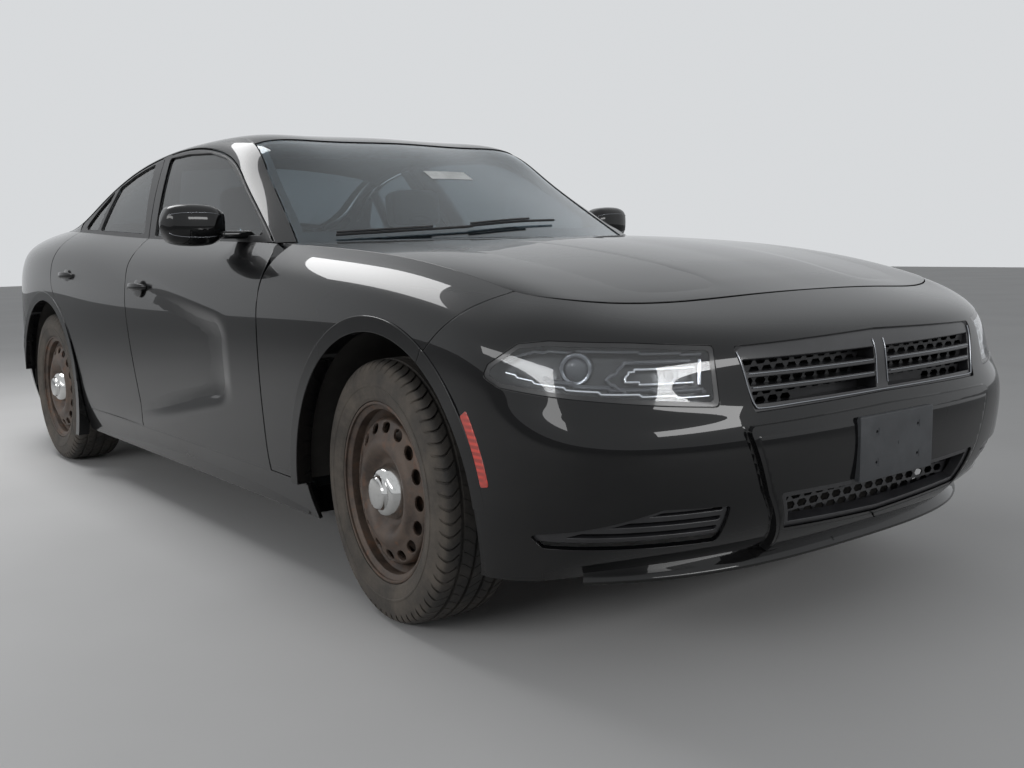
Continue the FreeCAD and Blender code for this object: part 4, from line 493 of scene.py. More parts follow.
PAINT = gloss_paint()
TRIM = satin("satin_trim", (0.010, 0.010, 0.011), 0.32)
MATT = satin("matt_plastic", (0.013, 0.013, 0.014), 0.52, 0.00025)
GRILLE_BLACK = satin("grille_plastic", (0.016, 0.016, 0.018), 0.34, coat=0.35)
LINER = satin("liner_felt", (0.020, 0.018, 0.016), 0.86, 0.0009, 320.0)
BRACKET = satin("bracket_plastic", (0.050, 0.053, 0.058), 0.46, 0.0003)
DASH = satin("dash_plastic", (0.018, 0.018, 0.020), 0.62, 0.0004, 500.0)
SEALER = satin("floor_sealer", (0.030, 0.030, 0.032), 0.62, 0.0008, 130.0)
CHROME = bright_metal("chrome", (0.78, 0.79, 0.80), 0.05)
CAP_METAL = bright_metal("cap_steel", (0.62, 0.62, 0.61), 0.10, 0.30)
LAMP_BRIGHT = bright_metal("lamp_reflector", (0.80, 0.81, 0.83), 0.12)
LAMP_GREY = satin("lamp_grey", (0.100, 0.105, 0.115), 0.30, coat=0.6)
LAMP_BLACK = satin("lamp_black", (0.012, 0.012, 0.013), 0.28, coat=0.6)
ENGINE_METAL = rusty_metal("engine_metal", (0.15, 0.15, 0.155), (0.07, 0.06, 0.05), 0.25)
IRON = rusty_metal("cast_iron", (0.10, 0.095, 0.09), (0.16, 0.075, 0.035), 0.5)
EXHAUST = rusty_metal("exhaust_steel", (0.28, 0.26, 0.24), (0.17, 0.09, 0.05), 0.3)
BARE_DISC = rusty_metal("brake_disc", (0.40, 0.39, 0.38), (0.20, 0.10, 0.05), 0.15, 0.35)
WHEEL = wheel_finish()
RUBBER = rubber()
SCREEN_GLASS = glass("screen_glass", (0.42, 0.52, 0.58))
SIDE_GLASS = glass("tinted_glass", (0.16, 0.18, 0.19))
LENS = glass("clear_lens", (0.93, 0.95, 0.97))
RED = lens_plastic("red_lens", (0.42, 0.012, 0.010))
MARKER_RED = lens_plastic("marker_lens", (0.80, 0.045, 0.020), 0.55)
CLOTH = cloth("seat_cloth", (0.020, 0.020, 0.023))
PAPER = satin("pale_label", (0.66, 0.68, 0.68), 0.55)
print("finishes", len(bpy.data.materials))

# %% [markdown]
# ## Sheet metal
# A skin is a fine grid on its surface, trimmed along its shut lines and folded over at the edge, as a
# press folds a panel. The grid's corners are worked out from the splines, because no primitive gives a
# body side. The trimming cuts only the faces along the line, so the reflections stay even.

# %% Outlines
def inset(outline, distance):
    """Outline with each edge moved inwards by a distance."""
    points = np.array(outline, float)
    ahead = unit(np.roll(points, -1, 0) - points)
    area = np.sum(points[:, 0] * np.roll(points[:, 1], -1) - np.roll(points[:, 0], -1) * points[:, 1])
    inward = np.stack([-ahead[:, 1], ahead[:, 0]], 1) * np.sign(area)
    result = []
    for i in range(len(points)):
        before, after = inward[i - 1], inward[i]
        middle = before + after
        result.append(points[i] + middle * distance / max(0.35, 1 + before.dot(after)))
    return [tuple(p) for p in result]


def rounded(outline, radius, count=5):
    """Outline with its corners rounded."""
    points = [Vector((a, b)) for a, b in outline]
    result = []
    for i, here in enumerate(points):
        back, ahead = points[i - 1] - here, points[(i + 1) % len(points)] - here
        turn = back.angle(ahead)
        reach = min(radius / math.tan(turn / 2), back.length * 0.45, ahead.length * 0.45)
        start, end = here + back.normalized() * reach, here + ahead.normalized() * reach
        for k in range(count + 1):
            t = k / count
            result.append(tuple(start * (1 - t) ** 2 + here * 2 * t * (1 - t) + end * t * t))
    return result


def circle(x, z, radius, count=120):
    return [(x + radius * math.cos(2 * math.pi * i / count), z + radius * math.sin(2 * math.pi * i / count))
            for i in range(count)]


def inside_outline(points, outline):
    """Which points (n, 2) lie inside an outline."""
    edge = np.array(outline, float)
    nxt = np.roll(edge, -1, 0)
    x, y = points[:, 0][:, None], points[:, 1][:, None]
    crosses = (edge[:, 1] > y) != (nxt[:, 1] > y)
    rise = np.where(nxt[:, 1] == edge[:, 1], 1e-12, nxt[:, 1] - edge[:, 1])
    at = edge[:, 0] + (y - edge[:, 1]) * (nxt[:, 0] - edge[:, 0]) / rise
    return (crosses & (x < at)).sum(1) % 2 == 1


def outline_distance(points, outline):
    """Distance from points (n, 2) to the nearest edge of an outline."""
    edge = np.array(outline, float)
    run = np.roll(edge, -1, 0) - edge
    best = np.full(len(points), 1e9)
    for start, step in zip(edge, run):
        t = np.clip(((points - start) @ step) / max(step @ step, 1e-9), 0, 1)
        best = np.minimum(best, np.linalg.norm(points - start - t[:, None] * step, axis=1))
    return best


SIDE_VIEW = np.array([(1, 0, 0), (0, 0, 1)], float)
FRONT_VIEW = np.array([(0, 1, 0), (0, 0, 1)], float)


# %% Sheets, trimming and folded edges
SHADING = "panel_normal"


def sheet(points, normals, proud=0.8, hollow=None):
    """Fine grid as a bmesh in millimetres, its faces outwards, this far proud of its surface."""
    lift = proud - (hollow(points) if hollow else 0)
    place = points + normals * (lift[..., None] if hollow else lift)
    bm = bmesh.new()
    rows = [[bm.verts.new(p) for p in row] for row in place]
    i, j = (n // 2 for n in place.shape[:2])
    first = np.cross(place[i + 1, j] - place[i, j], place[i, j + 1] - place[i, j]).dot(normals[i, j]) > 0
    for a, b in zip(rows, rows[1:]):
        for j in range(len(a) - 1):
            corners = (a[j], b[j], b[j + 1], a[j + 1])
            bm.faces.new(corners if first else corners[::-1])
    return bm


def flat_centres(faces, view):
    centres = np.array([face.calc_center_median() for face in faces]).reshape(-1, 3)
    return centres @ view.T


def score(bm, outline, view, reach=3.2):
    """Cut the faces of a sheet along an outline seen in a view."""
    faces = list(bm.faces)
    centres = flat_centres(faces, view)
    size = math.sqrt(max(face.calc_area() for face in faces))
    near = outline_distance(centres, outline) < size * reach
    active = [face for face, hit in zip(faces, near) if hit]
    known, flat = set(active), centres[near]
    axis = Vector(np.cross(*view))
    for start, end in zip(outline, outline[1:] + outline[:1]):
        a, step = np.array(start), np.array(end) - np.array(start)
        if step @ step < 1e-6 or not active:
            continue
        t = np.clip(((flat - a) @ step) / (step @ step), 0, 1)
        hits = np.flatnonzero(np.linalg.norm(flat - a - t[:, None] * step, axis=1) < size * 1.6)
        chosen = [active[i] for i in hits]
        if not chosen:
            continue
        parts = set(chosen)
        for face in chosen:
            parts.update(face.edges)
            parts.update(face.verts)
        along = Vector(view[0] * step[0] + view[1] * step[1])
        place = Vector(view[0] * a[0] + view[1] * a[1])
        result = bmesh.ops.bisect_plane(bm, geom=list(parts), dist=1e-4, plane_co=place,
                                        plane_no=axis.cross(along).normalized())
        fresh = [part for part in result["geom"]
                 if isinstance(part, bmesh.types.BMFace) and part not in known]
        flat[hits] = flat_centres(chosen, view)
        if fresh:
            flat = np.vstack([flat, flat_centres(fresh, view)])
            active += fresh
            known.update(fresh)


def trim(bm, outline, view, keep="inside"):
    """Cut a sheet along an outline and drop what lies on the other side."""
    outline = [tuple(p) for p in outline]
    score(bm, outline, view)
    faces = list(bm.faces)
    inside = inside_outline(flat_centres(faces, view), outline)
    drop = [face for face, hit in zip(faces, inside) if hit != (keep == "inside")]
    bmesh.ops.delete(bm, geom=drop, context="FACES")


def fold_edges(bm, radius=1.5, depth=10.0):
    """Roll the open edges of a sheet over and turn them in, like pressed metal."""
    bmesh.ops.dissolve_degenerate(bm, dist=0.02, edges=bm.edges)
    shading = bm.verts.layers.float_vector.new(SHADING)
    bm.normal_update()
    loops = [edge.link_loops[0] for edge in bm.edges if len(edge.link_loops) == 1]
    pairs = [(loop.vert, loop.link_loop_next.vert) for loop in loops]
    outward, normals = {}, {}
    for loop, (a, b) in zip(loops, pairs):
        away = (b.co - a.co).cross(loop.face.normal).normalized()
        for vert in (a, b):
            outward[vert] = outward.get(vert, Vector()) + away
            normals[vert] = vert.normal.copy()
    for vert, away in outward.items():
        away -= normals[vert] * away.dot(normals[vert])
        outward[vert] = away.normalized()
    for vert in bm.verts:
        vert[shading] = vert.normal
    steps = [(radius * math.sin(a), radius * (1 - math.cos(a)), a) for a in (0.5, 1.05, math.pi / 2)]
    steps.append((radius, radius + depth, math.pi / 2))
    previous = {vert: vert for vert in outward}
    for out, down, turn in steps:
        fresh = {vert: bm.verts.new(vert.co + outward[vert] * out - normals[vert] * down) for vert in outward}
        for vert, copy in fresh.items():
            copy[shading] = normals[vert] * math.cos(turn) + outward[vert] * math.sin(turn)
        for a, b in pairs:
            bm.faces.new((previous[b], previous[a], fresh[a], fresh[b]))
        previous = fresh


def as_piece(name, bm):
    """Turn a bmesh into an object in the scene."""
    mesh = bpy.data.meshes.new(name)
    bm.to_mesh(mesh)
    bm.free()
    return added(name, mesh)


def added(name, data):
    piece = bpy.data.objects.new(name, data)
    bpy.context.scene.collection.objects.link(piece)
    return piece


def all_smooth(mesh):
    mesh.polygons.foreach_set("use_smooth", [True] * len(mesh.polygons))


def finish(name, bm, body, material, slot, replaces=()):
    """Turn a bmesh in millimetres into a smooth piece that rides on its body."""
    bmesh.ops.scale(bm, vec=(MM,) * 3, verts=bm.verts)
    piece = as_piece(name, bm)
    all_smooth(piece.data)
    shade_by_panel(piece.data)
    return dress(piece, body, material, slot, replaces)


def shade_by_panel(mesh):
    """Shade a sheet by its own surface, so that the fold at its edge leaves no dark band."""
    if SHADING in mesh.attributes:
        values = np.zeros(len(mesh.vertices) * 3)
        mesh.attributes[SHADING].data.foreach_get("vector", values)
        mesh.normals_split_custom_set_from_vertices(values.reshape(-1, 3).tolist())


def dress(piece, body, material, slot, replaces=()):
    """Give a piece its finish, its body and its slot, and say which solids it stands for."""
    piece.data.materials.clear()
    piece.data.materials.append(material)
    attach(piece, body)
    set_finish(piece, slot)
    if replaces:
        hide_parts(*replaces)
    return piece


def other_side(piece, body=None, replaces=()):
    """The same piece on the right of the car."""
    bm = bmesh.new()
    bm.from_mesh(piece.data)
    bmesh.ops.scale(bm, vec=(1, -1, 1), verts=bm.verts)
    bmesh.ops.reverse_faces(bm, faces=bm.faces)
    shading = bm.verts.layers.float_vector.get(SHADING)
    if shading:
        for vert in bm.verts:
            vert[shading] = vert[shading] * Vector((1, -1, 1))
    twin = as_piece(piece.name.replace("left", "right"), bm)
    shade_by_panel(twin.data)
    return dress(twin, body or piece["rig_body"].replace("left", "right"), piece.data.materials[0],
                 piece["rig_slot"], replaces)


# %% [markdown]
# ## The workbench
# Small solid pieces are made as by hand: a primitive at its size and place, a modifier or two, soft edges.
# These helpers select one piece and nothing else before each operator, because an operator acts on all
# that is selected. Forms that are lofted through sections or drawn as a bent bar have a helper each.

# %% Operators on one piece
def only(piece):
    """Select and activate one piece, and nothing else."""
    bpy.ops.object.select_all(action="DESELECT")
    piece.select_set(True)
    bpy.context.view_layer.objects.active = piece


def outwards(piece):
    """Merge doubles and turn every face outwards."""
    only(piece)
    bpy.ops.object.mode_set(mode="EDIT")
    bpy.ops.mesh.select_all(action="SELECT")
    bpy.ops.mesh.remove_doubles(threshold=1e-5)
    bpy.ops.mesh.normals_make_consistent(inside=False)
    bpy.ops.object.mode_set(mode="OBJECT")


def modify(piece, kind, **settings):
    """Add a modifier and apply it."""
    only(piece)
    bpy.ops.object.modifier_add(type=kind)
    modifier = piece.modifiers[-1]
    for key, value in settings.items():
        setattr(modifier, key, value)
    bpy.ops.object.modifier_apply(modifier=modifier.name)


def smooth_by_angle(piece, angle):
    """Shade smooth, with a crease wherever faces meet at more than an angle in degrees."""
    only(piece)
    bpy.ops.object.shade_smooth_by_angle(angle=math.radians(angle))


def soften(piece, width, segments=3):
    """Round the edges and shade smooth between them."""
    modify(piece, "BEVEL", width=width, segments=segments, limit_method="ANGLE", angle_limit=math.radians(30),
           harden_normals=False)
    smooth_by_angle(piece, 35)


# %% Joining, copying and placing
def joined(name, pieces):
    """Join several meshes into one piece."""
    only(pieces[0])
    for piece in pieces[1:]:
        piece.select_set(True)
    bpy.ops.object.join()
    pieces[0].name = pieces[0].data.name = name
    return pieces[0]


def into_place(piece, matrix=Matrix()):
    """Write a piece's place, in millimetres, into its mesh: its object stays at the origin."""
    piece.data.transform(Matrix.Scale(MM, 4) @ matrix @ piece.matrix_world)
    piece.matrix_world = Matrix()
    return piece


def copy_of(piece, name, matrix):
    """Copy with a mesh of its own, at another place."""
    twin = piece.copy()
    twin.data = piece.data.copy()
    twin.name = twin.data.name = name
    bpy.context.scene.collection.objects.link(twin)
    return into_place(twin, matrix)


# %% Lofts, bars and blocks
def lofted(sections):
    """Closed bmesh through rings of points, with a face over each end."""
    bm = bmesh.new()
    rings = [[bm.verts.new(p) for p in ring] for ring in sections]
    for one, other in zip(rings, rings[1:]):
        for i in range(len(one)):
            n = (i + 1) % len(one)
            bm.faces.new((one[i], one[n], other[n], other[i]))
    for end in (rings[0], rings[-1]):
        bm.faces.new(end)
    bmesh.ops.recalc_face_normals(bm, faces=bm.faces)
    return bm


def tube(name, points, radius, body, material, slot):
    """Round bar along points in millimetres, made from a curve."""
    curve = bpy.data.curves.new(name, "CURVE")
    curve.dimensions, curve.bevel_depth, curve.bevel_resolution = "3D", radius * MM, 3
    curve.use_fill_caps = True
    spline = curve.splines.new("POLY")
    spline.points.add(len(points) - 1)
    for point, place in zip(spline.points, points):
        point.co = (*(Vector(place) * MM), 1)
    only(added(name, curve))
    bpy.ops.object.convert(target="MESH")
    piece = bpy.context.object
    all_smooth(piece.data)
    return dress(piece, body, material, slot)


def block(name, low, high, bevel=0.0, segments=3):
    """A bevelled block between two corners, in millimetres."""
    bpy.ops.object.select_all(action="DESELECT")
    middle = [(a + b) / 2 for a, b in zip(low, high)]
    bpy.ops.mesh.primitive_cube_add(size=1, location=middle, scale=[b - a for a, b in zip(low, high)])
    piece = bpy.context.object
    piece.name = name
    bpy.ops.object.transform_apply(location=True, rotation=True, scale=True)
    if bevel:
        soften(piece, bevel, segments)
    return piece


def cut_by(piece, cutter):
    """Subtract a cutter from a piece, exactly, and throw the cutter away."""
    modify(piece, "BOOLEAN", operation="DIFFERENCE", object=cutter, solver="EXACT")
    bpy.data.objects.remove(cutter)


# %% [markdown]
# ## Painted panels
# Each panel is one stretch of the body's surface. Its outline is drawn as seen from the side, the front
# or above, just as the shut lines are drawn on the real car, and the sheet is trimmed along it.
# Edges stand in by a millimetre or so, because the fold adds its own radius.

# %% Shut lines, as seen from the side (x, z), the front (y, z) or square to the lamp
PANEL_GAP = 6.5
EDGE_INSET = 1.3
EDGE = PANEL_GAP / 2 + EDGE_INSET
SILL_TOP_Z = 318
WHEEL_X = {"front": 1592, "rear": -1472}
ARCH_RADIUS = {"front": 438, "rear": 425}
TYRE_RADIUS = 361
FRONT_SHUT = [(905, 318), (896, 560), (895, 780), (889, 930), (858, 990), (800, 1026), (765, 1060)]
MID_SHUT = [(-262, 318), (-274, 421), (-312, 610), (-345, 790), (-372, 990), (-404, 1062), (-500, 1250),
            (-590, 1440)]
REAR_SHUT = [(-993, 318), (-1000, 440), (-1030, 545), (-1090, 650), (-1200, 752), (-1300, 828), (-1340, 930),
             (-1354, 1032), (-1392, 1135)]
REAR_BUMPER_LINE = [(-1880, 150), (-1905, 560), (-1925, 690), (-2080, 775), (-2230, 800), (-2340, 861),
                    (-2700, 861)]
FRONT_BUMPER_LINE = [(1925, 150), (1925, 560), (1834, 755), (2020, 905), (2036, 960)]
LAMP_OUTLINE = [(-1496, 787), (-1320, 800), (-1143, 807), (-1073, 800), (-1000, 752), (-986, 724),
                (-1030, 701), (-1180, 684), (-1342, 668), (-1514, 652)]
GRILLE_OUTLINE = [(-500, 782), (0, 795), (500, 782), (468, 632), (0, 638), (-468, 632)]
LOWER_GRILLE_OUTLINE = [(-414, 446), (0, 440), (414, 446), (366, 348), (0, 330), (-366, 348)]
SNOUT_OUTLINE = [(-512, 606), (0, 612), (512, 606), (450, 446),
                 (340, 270), (0, 250), (-340, 270), (-450, 446)]
SNOUT_REACH, SNOUT_RAMP, SNOUT_SHELF = 16, 14, 32
VENT_OUTLINE = [(540, 428), (700, 436), (905, 372), (880, 340), (540, 336)]
LAMP_ANGLE = math.radians(50)
LAMP_VIEW = np.array([(-math.sin(LAMP_ANGLE), math.cos(LAMP_ANGLE), 0), (0, 0, 1)])
LID_HALF_WIDTH, LID_FLARE, LID_LOW_Z = 470, 60, 868
FAR = 3000


def curved(points, step=14.0):
    """Smooth open line through points, sampled finely."""
    pts = np.array(points, float)
    ends = np.vstack([2 * pts[0] - pts[1], pts, 2 * pts[-1] - pts[-2]])
    result = []
    for before, here, after, later in zip(ends, ends[1:], ends[2:], ends[3:]):
        count = max(1, int(np.linalg.norm(after - here) / step))
        for t in np.arange(count) / count:
            result.append(tuple(here + 0.5 * t * (after - before + t * (2 * before - 5 * here + 4 * after - later
                                + t * (3 * (here - after) + later - before)))))
    return result + [tuple(pts[-1])]


def moved(line, dx):
    """Line moved along the car."""
    return [(x + dx, z) for x, z in line]


def above(line, z_low):
    """Line with no point under a height."""
    return [(x, max(z, z_low)) for x, z in line]


def arch_hole(axle, gap=0.0):
    """Round outline of a wheel arch."""
    return circle(WHEEL_X[axle], TYRE_RADIUS, ARCH_RADIUS[axle] + EDGE_INSET + gap)


def mirrored_view(view):
    return view * np.array([1, -1, 1])


# %% One function for every panel
def side_grid(u_range, v_range, step=11.0, points=side_points):
    """Sampled stretch of a surface, fine enough that no facet shows."""
    middle_u, middle_v = 0.5 * sum(u_range), 0.5 * sum(v_range)
    line = points(np.linspace(*u_range, 60), np.full(60, middle_v))
    rise = points(np.full(40, middle_u), np.linspace(*v_range, 40))
    shape = [int(np.linalg.norm(np.diff(p, axis=0), axis=1).sum() / step) + 2 for p in (line, rise)]
    return grid_of(points, u_range, v_range, shape)


def panel(name, body, grid, cuts=(), material=PAINT, slot="black_paint", proud=0.8, hollow=None, twin=False):
    """A folded sheet: each cut is an outline, the view that it is drawn in, and which side is kept."""
    bm = sheet(*grid, proud, hollow)
    for outline, view, keep in cuts:
        trim(bm, outline, view, keep)
    fold_edges(bm)
    skin = finish(name, bm, body, material, slot)
    if twin:
        other_side(skin)
    print(name, len(skin.data.polygons), "faces")
    return skin


# %% Doors, with the hollow behind the front wheel
SCALLOP_DEPTH, SCALLOP_EDGE, SCALLOP_START, SCALLOP_RUN = 15, 95, 133, 1300


def ease(t):
    """Smooth step from 0 to 1."""
    t = np.clip(t, 0, 1)
    return t * t * (3 - 2 * t)


def scallop(place):
    """Depth of the C-shaped hollow behind the front wheel: it opens backwards and fades out."""
    x, z = place[..., 0], place[..., 2]
    back = 676 - x
    across = ease((800 + back * 0.17 - z) / SCALLOP_EDGE) * ease((z - 500 + back * 0.20) / SCALLOP_EDGE)
    return SCALLOP_DEPTH * across * ease(back / SCALLOP_START) * (1 - ease((250 - x) / SCALLOP_RUN))


for door, ahead, behind, us in (("front_door", FRONT_SHUT, MID_SHUT, (8.2, 10.8)),
                                ("rear_door", MID_SHUT, REAR_SHUT, (10.1, 13.5))):
    outline = curved(moved(ahead, -EDGE)) + curved(moved(behind, EDGE))[::-1]
    panel(door + "_skin_left", door + "_left", side_grid(us, (0.25, BELT_V)),
          [(above(outline, SILL_TOP_Z + EDGE_INSET), SIDE_VIEW, "inside")], hollow=scallop, twin=True)

# %% Wings, sills and quarters
bumper_edge = moved(FRONT_BUMPER_LINE, -EDGE)
outline = above(curved(moved(FRONT_SHUT, EDGE)) + [(765, 1200), (2040, 1200)] + bumper_edge[::-1],
                SILL_TOP_Z + EDGE_INSET)
panel("wing_skin_left", "body", side_grid((4.6, 8.4), (0.5, BELT_V)),
      [(outline, SIDE_VIEW, "inside"), (arch_hole("front"), SIDE_VIEW, "outside")], twin=True)
SILL_GAP = 5
outline = [(1180, 150), (1180, SILL_TOP_Z - SILL_GAP), (-988, SILL_TOP_Z - SILL_GAP), (-988, 150)]
panel("sill_skin_left", "body", side_grid((7.5, 12.2), (0.0, 2.6)),
      [(outline, SIDE_VIEW, "inside"), (arch_hole("front"), SIDE_VIEW, "outside")], twin=True)
tail_edge = curved(moved(REAR_BUMPER_LINE, EDGE)[:6])
door_edge = curved(moved(REAR_SHUT, -EDGE))
outline = [(door_edge[0][0], 208)] + door_edge + [(-1400, 1300), (-FAR, 1300), (-FAR, 867)] + tail_edge[::-1]
band = rounded([(-862, 866), (862, 866), (862, 987), (-862, 987)], 18)
lid_half = LID_HALF_WIDTH + PANEL_GAP + EDGE_INSET
lid_space = [(-lid_half, 840), (lid_half, 840), (lid_half + LID_FLARE, 1200), (-lid_half - LID_FLARE, 1200)]
panel("quarter_skin_left", "body", side_grid((12.0, 16.9), (0.1, BELT_V)),
      [(above(outline, 208), SIDE_VIEW, "inside"), (arch_hole("rear"), SIDE_VIEW, "outside"),
       (band, FRONT_VIEW, "outside"), (lid_space, FRONT_VIEW, "outside")], twin=True)

# %% Tail, boot lid and their lamps
outline = [(x - 2 * EDGE, z - 4) for x, z in tail_edge] + [(-FAR, 855), (-FAR, 150)]
panel("rear_bumper_skin", "body", side_grid((TAIL_U - 5.2, TAIL_U + 5.2), (0.0, BELT_V)),
      [(outline, SIDE_VIEW, "inside"), (arch_hole("rear", 13), SIDE_VIEW, "outside")])
half = LID_HALF_WIDTH - EDGE_INSET
lid_face = [(-half, LID_LOW_Z + EDGE_INSET), (half, LID_LOW_Z + EDGE_INSET), (half + LID_FLARE, 1200),
            (-half - LID_FLARE, 1200)]
panel("boot_lid_back_skin", "boot_lid", side_grid((TAIL_U - 3.0, TAIL_U + 3.0), (4.2, BELT_V)),
      [(lid_face, FRONT_VIEW, "inside"), (band, FRONT_VIEW, "outside")])
lens_band = rounded([(-857, 871), (857, 871), (857, 982), (-857, 982)], 17)
lens_grid = side_grid((TAIL_U - 4.4, TAIL_U + 4.4), (4.0, 5.95), 9.0)
panel("lid_lamp_lens", "boot_lid", lens_grid,
      [(lens_band, FRONT_VIEW, "inside"), (lid_face, FRONT_VIEW, "inside")], RED, "red_lens", 1.8)
for side, sign in SIDES:
    edge = sign * (lid_half + 2)
    corner = [(edge, 800), (sign * FAR, 800), (sign * FAR, 1100), (edge + sign * 24, 1100)]
    panel("tail_lamp_lens_" + side, "body", lens_grid,
          [(lens_band, FRONT_VIEW, "inside"), (corner, FRONT_VIEW, "inside")], RED, "red_lens", 1.8)

# %% Deck and hood surfaces
DECK_FRONT_X, DECK_REAR_X, DECK_SIDE = -1790, -2425, 0.985
DECK_CENTRE = [(-1762, 1124), (-1950, 1126), (-2200, 1130), (-2380, 1136), (-2440, 1128)]
HOOD_REAR_X, HOOD_CORNER_X, HOOD_COWL, HOOD_CROWN = 812, 2028, 34, 12
HOOD_S, HOOD_T = 0.991, (0.006, 0.995)
HOOD_CENTRE = [(1078, 1046), (1400, 1040), (1700, 1012), (1980, 968), (2160, 926), (2286, 889)]


def through(points, x):
    """Smooth height over x through points."""
    px, pz = np.array(sorted(points), float).T
    slope = np.gradient(pz, px)
    slope[1:-1] = (pz[2:] - pz[:-2]) / (px[2:] - px[:-2])
    x = np.clip(x, px[0], px[-1])
    i = np.clip(np.searchsorted(px, x) - 1, 0, len(px) - 2)
    run = px[i + 1] - px[i]
    t = (x - px[i]) / run
    return ((2 * t ** 3 - 3 * t ** 2 + 1) * pz[i] + (t ** 3 - 2 * t ** 2 + t) * run * slope[i]
            + (3 * t ** 2 - 2 * t ** 3) * pz[i + 1] + (t ** 3 - t ** 2) * run * slope[i + 1])


def deck_points(s, x):
    """Top of the boot lid: s runs from the right edge to the left one."""
    edge = belt(x)
    middle = through(DECK_CENTRE, x)
    return np.stack([x, edge[:, 1] * s, edge[:, 2] + (middle - edge[:, 2]) * (1 - s * s)], 1)


CREASE_DEPTH, CREASE_Y, CREASE_SPREAD, CREASE_STEP, CREASE_FADE = 7, 300, 0.085, 60, 330
CREASE_FRONT_X, CREASE_REAR_X, CREASE_END = 2250, 960, 160


def hood_crease(x, y):
    """Long shallow hollows that run back from the front edge on each side of the middle."""
    beside = np.abs(y) - CREASE_Y - (2290 - x) * CREASE_SPREAD
    length = ease((CREASE_FRONT_X - x) / CREASE_END) * ease((x - CREASE_REAR_X) / CREASE_END)
    return CREASE_DEPTH * length * ease(beside / CREASE_STEP / 2 + 0.5) * (1 - ease(beside / CREASE_FADE))


def hood_points(s, t):
    """Hood: a patch between its four edges, s across it and t from its rear edge forwards."""
    q = np.abs(s)
    side_x = HOOD_REAR_X + (HOOD_CORNER_X - HOOD_REAR_X) * t
    edge = belt(side_x)
    one = np.ones_like(q)
    front = side_points(5 * q ** 0.9, one * BELT_V)
    rear = roof_points(0 * q, 2 - (2 - SCREEN_V) * q)
    rear[:, 0] += HOOD_COWL * (1 - 0.7 * q)
    corner_rear, corner_front = belt(one * HOOD_REAR_X), side_points(one * 5, one * BELT_V)
    middle_rear, middle_front = roof_points(0 * q, one * 2), side_points(0 * q, one * BELT_V)
    middle_rear[:, 0] += HOOD_COWL
    middle_rear[:, 2] = HOOD_CENTRE[0][1]
    base = roof_points(0 * q, one * SCREEN_V)
    base[:, 0] += HOOD_COWL * 0.3
    rear += (corner_rear - base) * q[:, None]
    q, t = q[:, None], t[:, None]
    lengthways = rear * (1 - t) + front * t
    centre = middle_rear * (1 - t) + middle_front * t
    centre[:, 1] = 0
    centre[:, 2] = through(HOOD_CENTRE, centre[:, 0])
    across = centre + (edge - centre) * q
    flat = (middle_rear * (1 - t) + middle_front * t) * (1 - q)
    flat += (corner_rear * (1 - t) + corner_front * t) * q
    point = lengthways + across - flat
    point[:, 2] += (HOOD_CROWN * 4 * (1 - q * q) * q * t ** 0.3 * (1 - t) ** 0.4)[:, 0]
    point[:, 1] *= np.sign(s) + (s == 0)
    return point


def own_grid(points, first, second, shape, hollow=None):
    """Grid of a surface given by a function, with normals that point up."""
    a, b = np.linspace(*first, shape[0]), np.linspace(*second, shape[1])
    aa, bb = [axis.ravel() for axis in np.meshgrid(a, b, indexing="ij")]
    place = points(aa, bb).reshape(*shape, 3)
    if hollow:
        place[..., 2] -= hollow(place[..., 0], place[..., 1])
    normal = unit(np.cross(np.gradient(place, axis=0), np.gradient(place, axis=1)))
    return place, normal * np.sign(normal[..., 2:3])


DECK_SPAN = (DECK_REAR_X + 2, DECK_FRONT_X - 2)
panel("boot_lid_skin", "boot_lid",
      own_grid(deck_points, (0.002 - DECK_SIDE, DECK_SIDE - 0.002), DECK_SPAN, (110, 60)))


def lip_points(s, t):
    """Rear lip of the boot lid, from the end of the deck down to the top of the tail."""
    top = deck_points(s, np.full_like(s, DECK_REAR_X + 2))
    us = np.linspace(TAIL_U - 1.5, TAIL_U + 1.5, 400)
    rim_y = side_points(us, np.full(400, BELT_V))[:, 1]
    u = np.interp(top[:, 1], rim_y[::-1], us[::-1])
    base = side_points(u, np.full_like(u, BELT_V - 0.01))
    point = top + (base - top) * t[:, None]
    point[:, 0] -= 5 * np.sin(np.pi * t) * (1 - s ** 2)
    return point


panel("boot_lid_lip_skin", "boot_lid", own_grid(lip_points, (-0.975, 0.975), (0.0, 1.0), (90, 8)))
SCREEN_END_U = 6.92


def cowl_points(v, t):
    """Strip between the rear screen and the boot lid."""
    top = roof_points(np.full_like(v, SCREEN_END_U + 0.005), v)
    x = np.full_like(v, DECK_FRONT_X + 7)
    low = deck_points(top[:, 1] / belt(x)[:, 1], x)
    return top + (low - top) * t[:, None]


panel("rear_cowl_skin", "body",
      own_grid(cowl_points, (SCREEN_V + 0.01, 4 - SCREEN_V - 0.01), (0.0, 1.0), (110, 8)),
      material=TRIM, slot="black_trim")
hood_grid = own_grid(hood_points, (-HOOD_S + 0.002, HOOD_S - 0.002), HOOD_T, (150, 130), hood_crease)
panel("hood_skin", "hood", hood_grid)

# %% Nose, with its raised snout
def snout_rise(place):
    """How far the snout stands out of the bumper's surface."""
    flat = place.reshape(-1, 3) @ FRONT_VIEW.T
    inside = inside_outline(flat, SNOUT_OUTLINE)
    depth = np.where(inside, outline_distance(flat, SNOUT_OUTLINE), 0) / SNOUT_RAMP
    shelf = (612 - flat[:, 1]) / SNOUT_SHELF
    return (SNOUT_REACH * np.clip(np.minimum(depth, shelf), 0, 1)).reshape(place.shape[:-1])


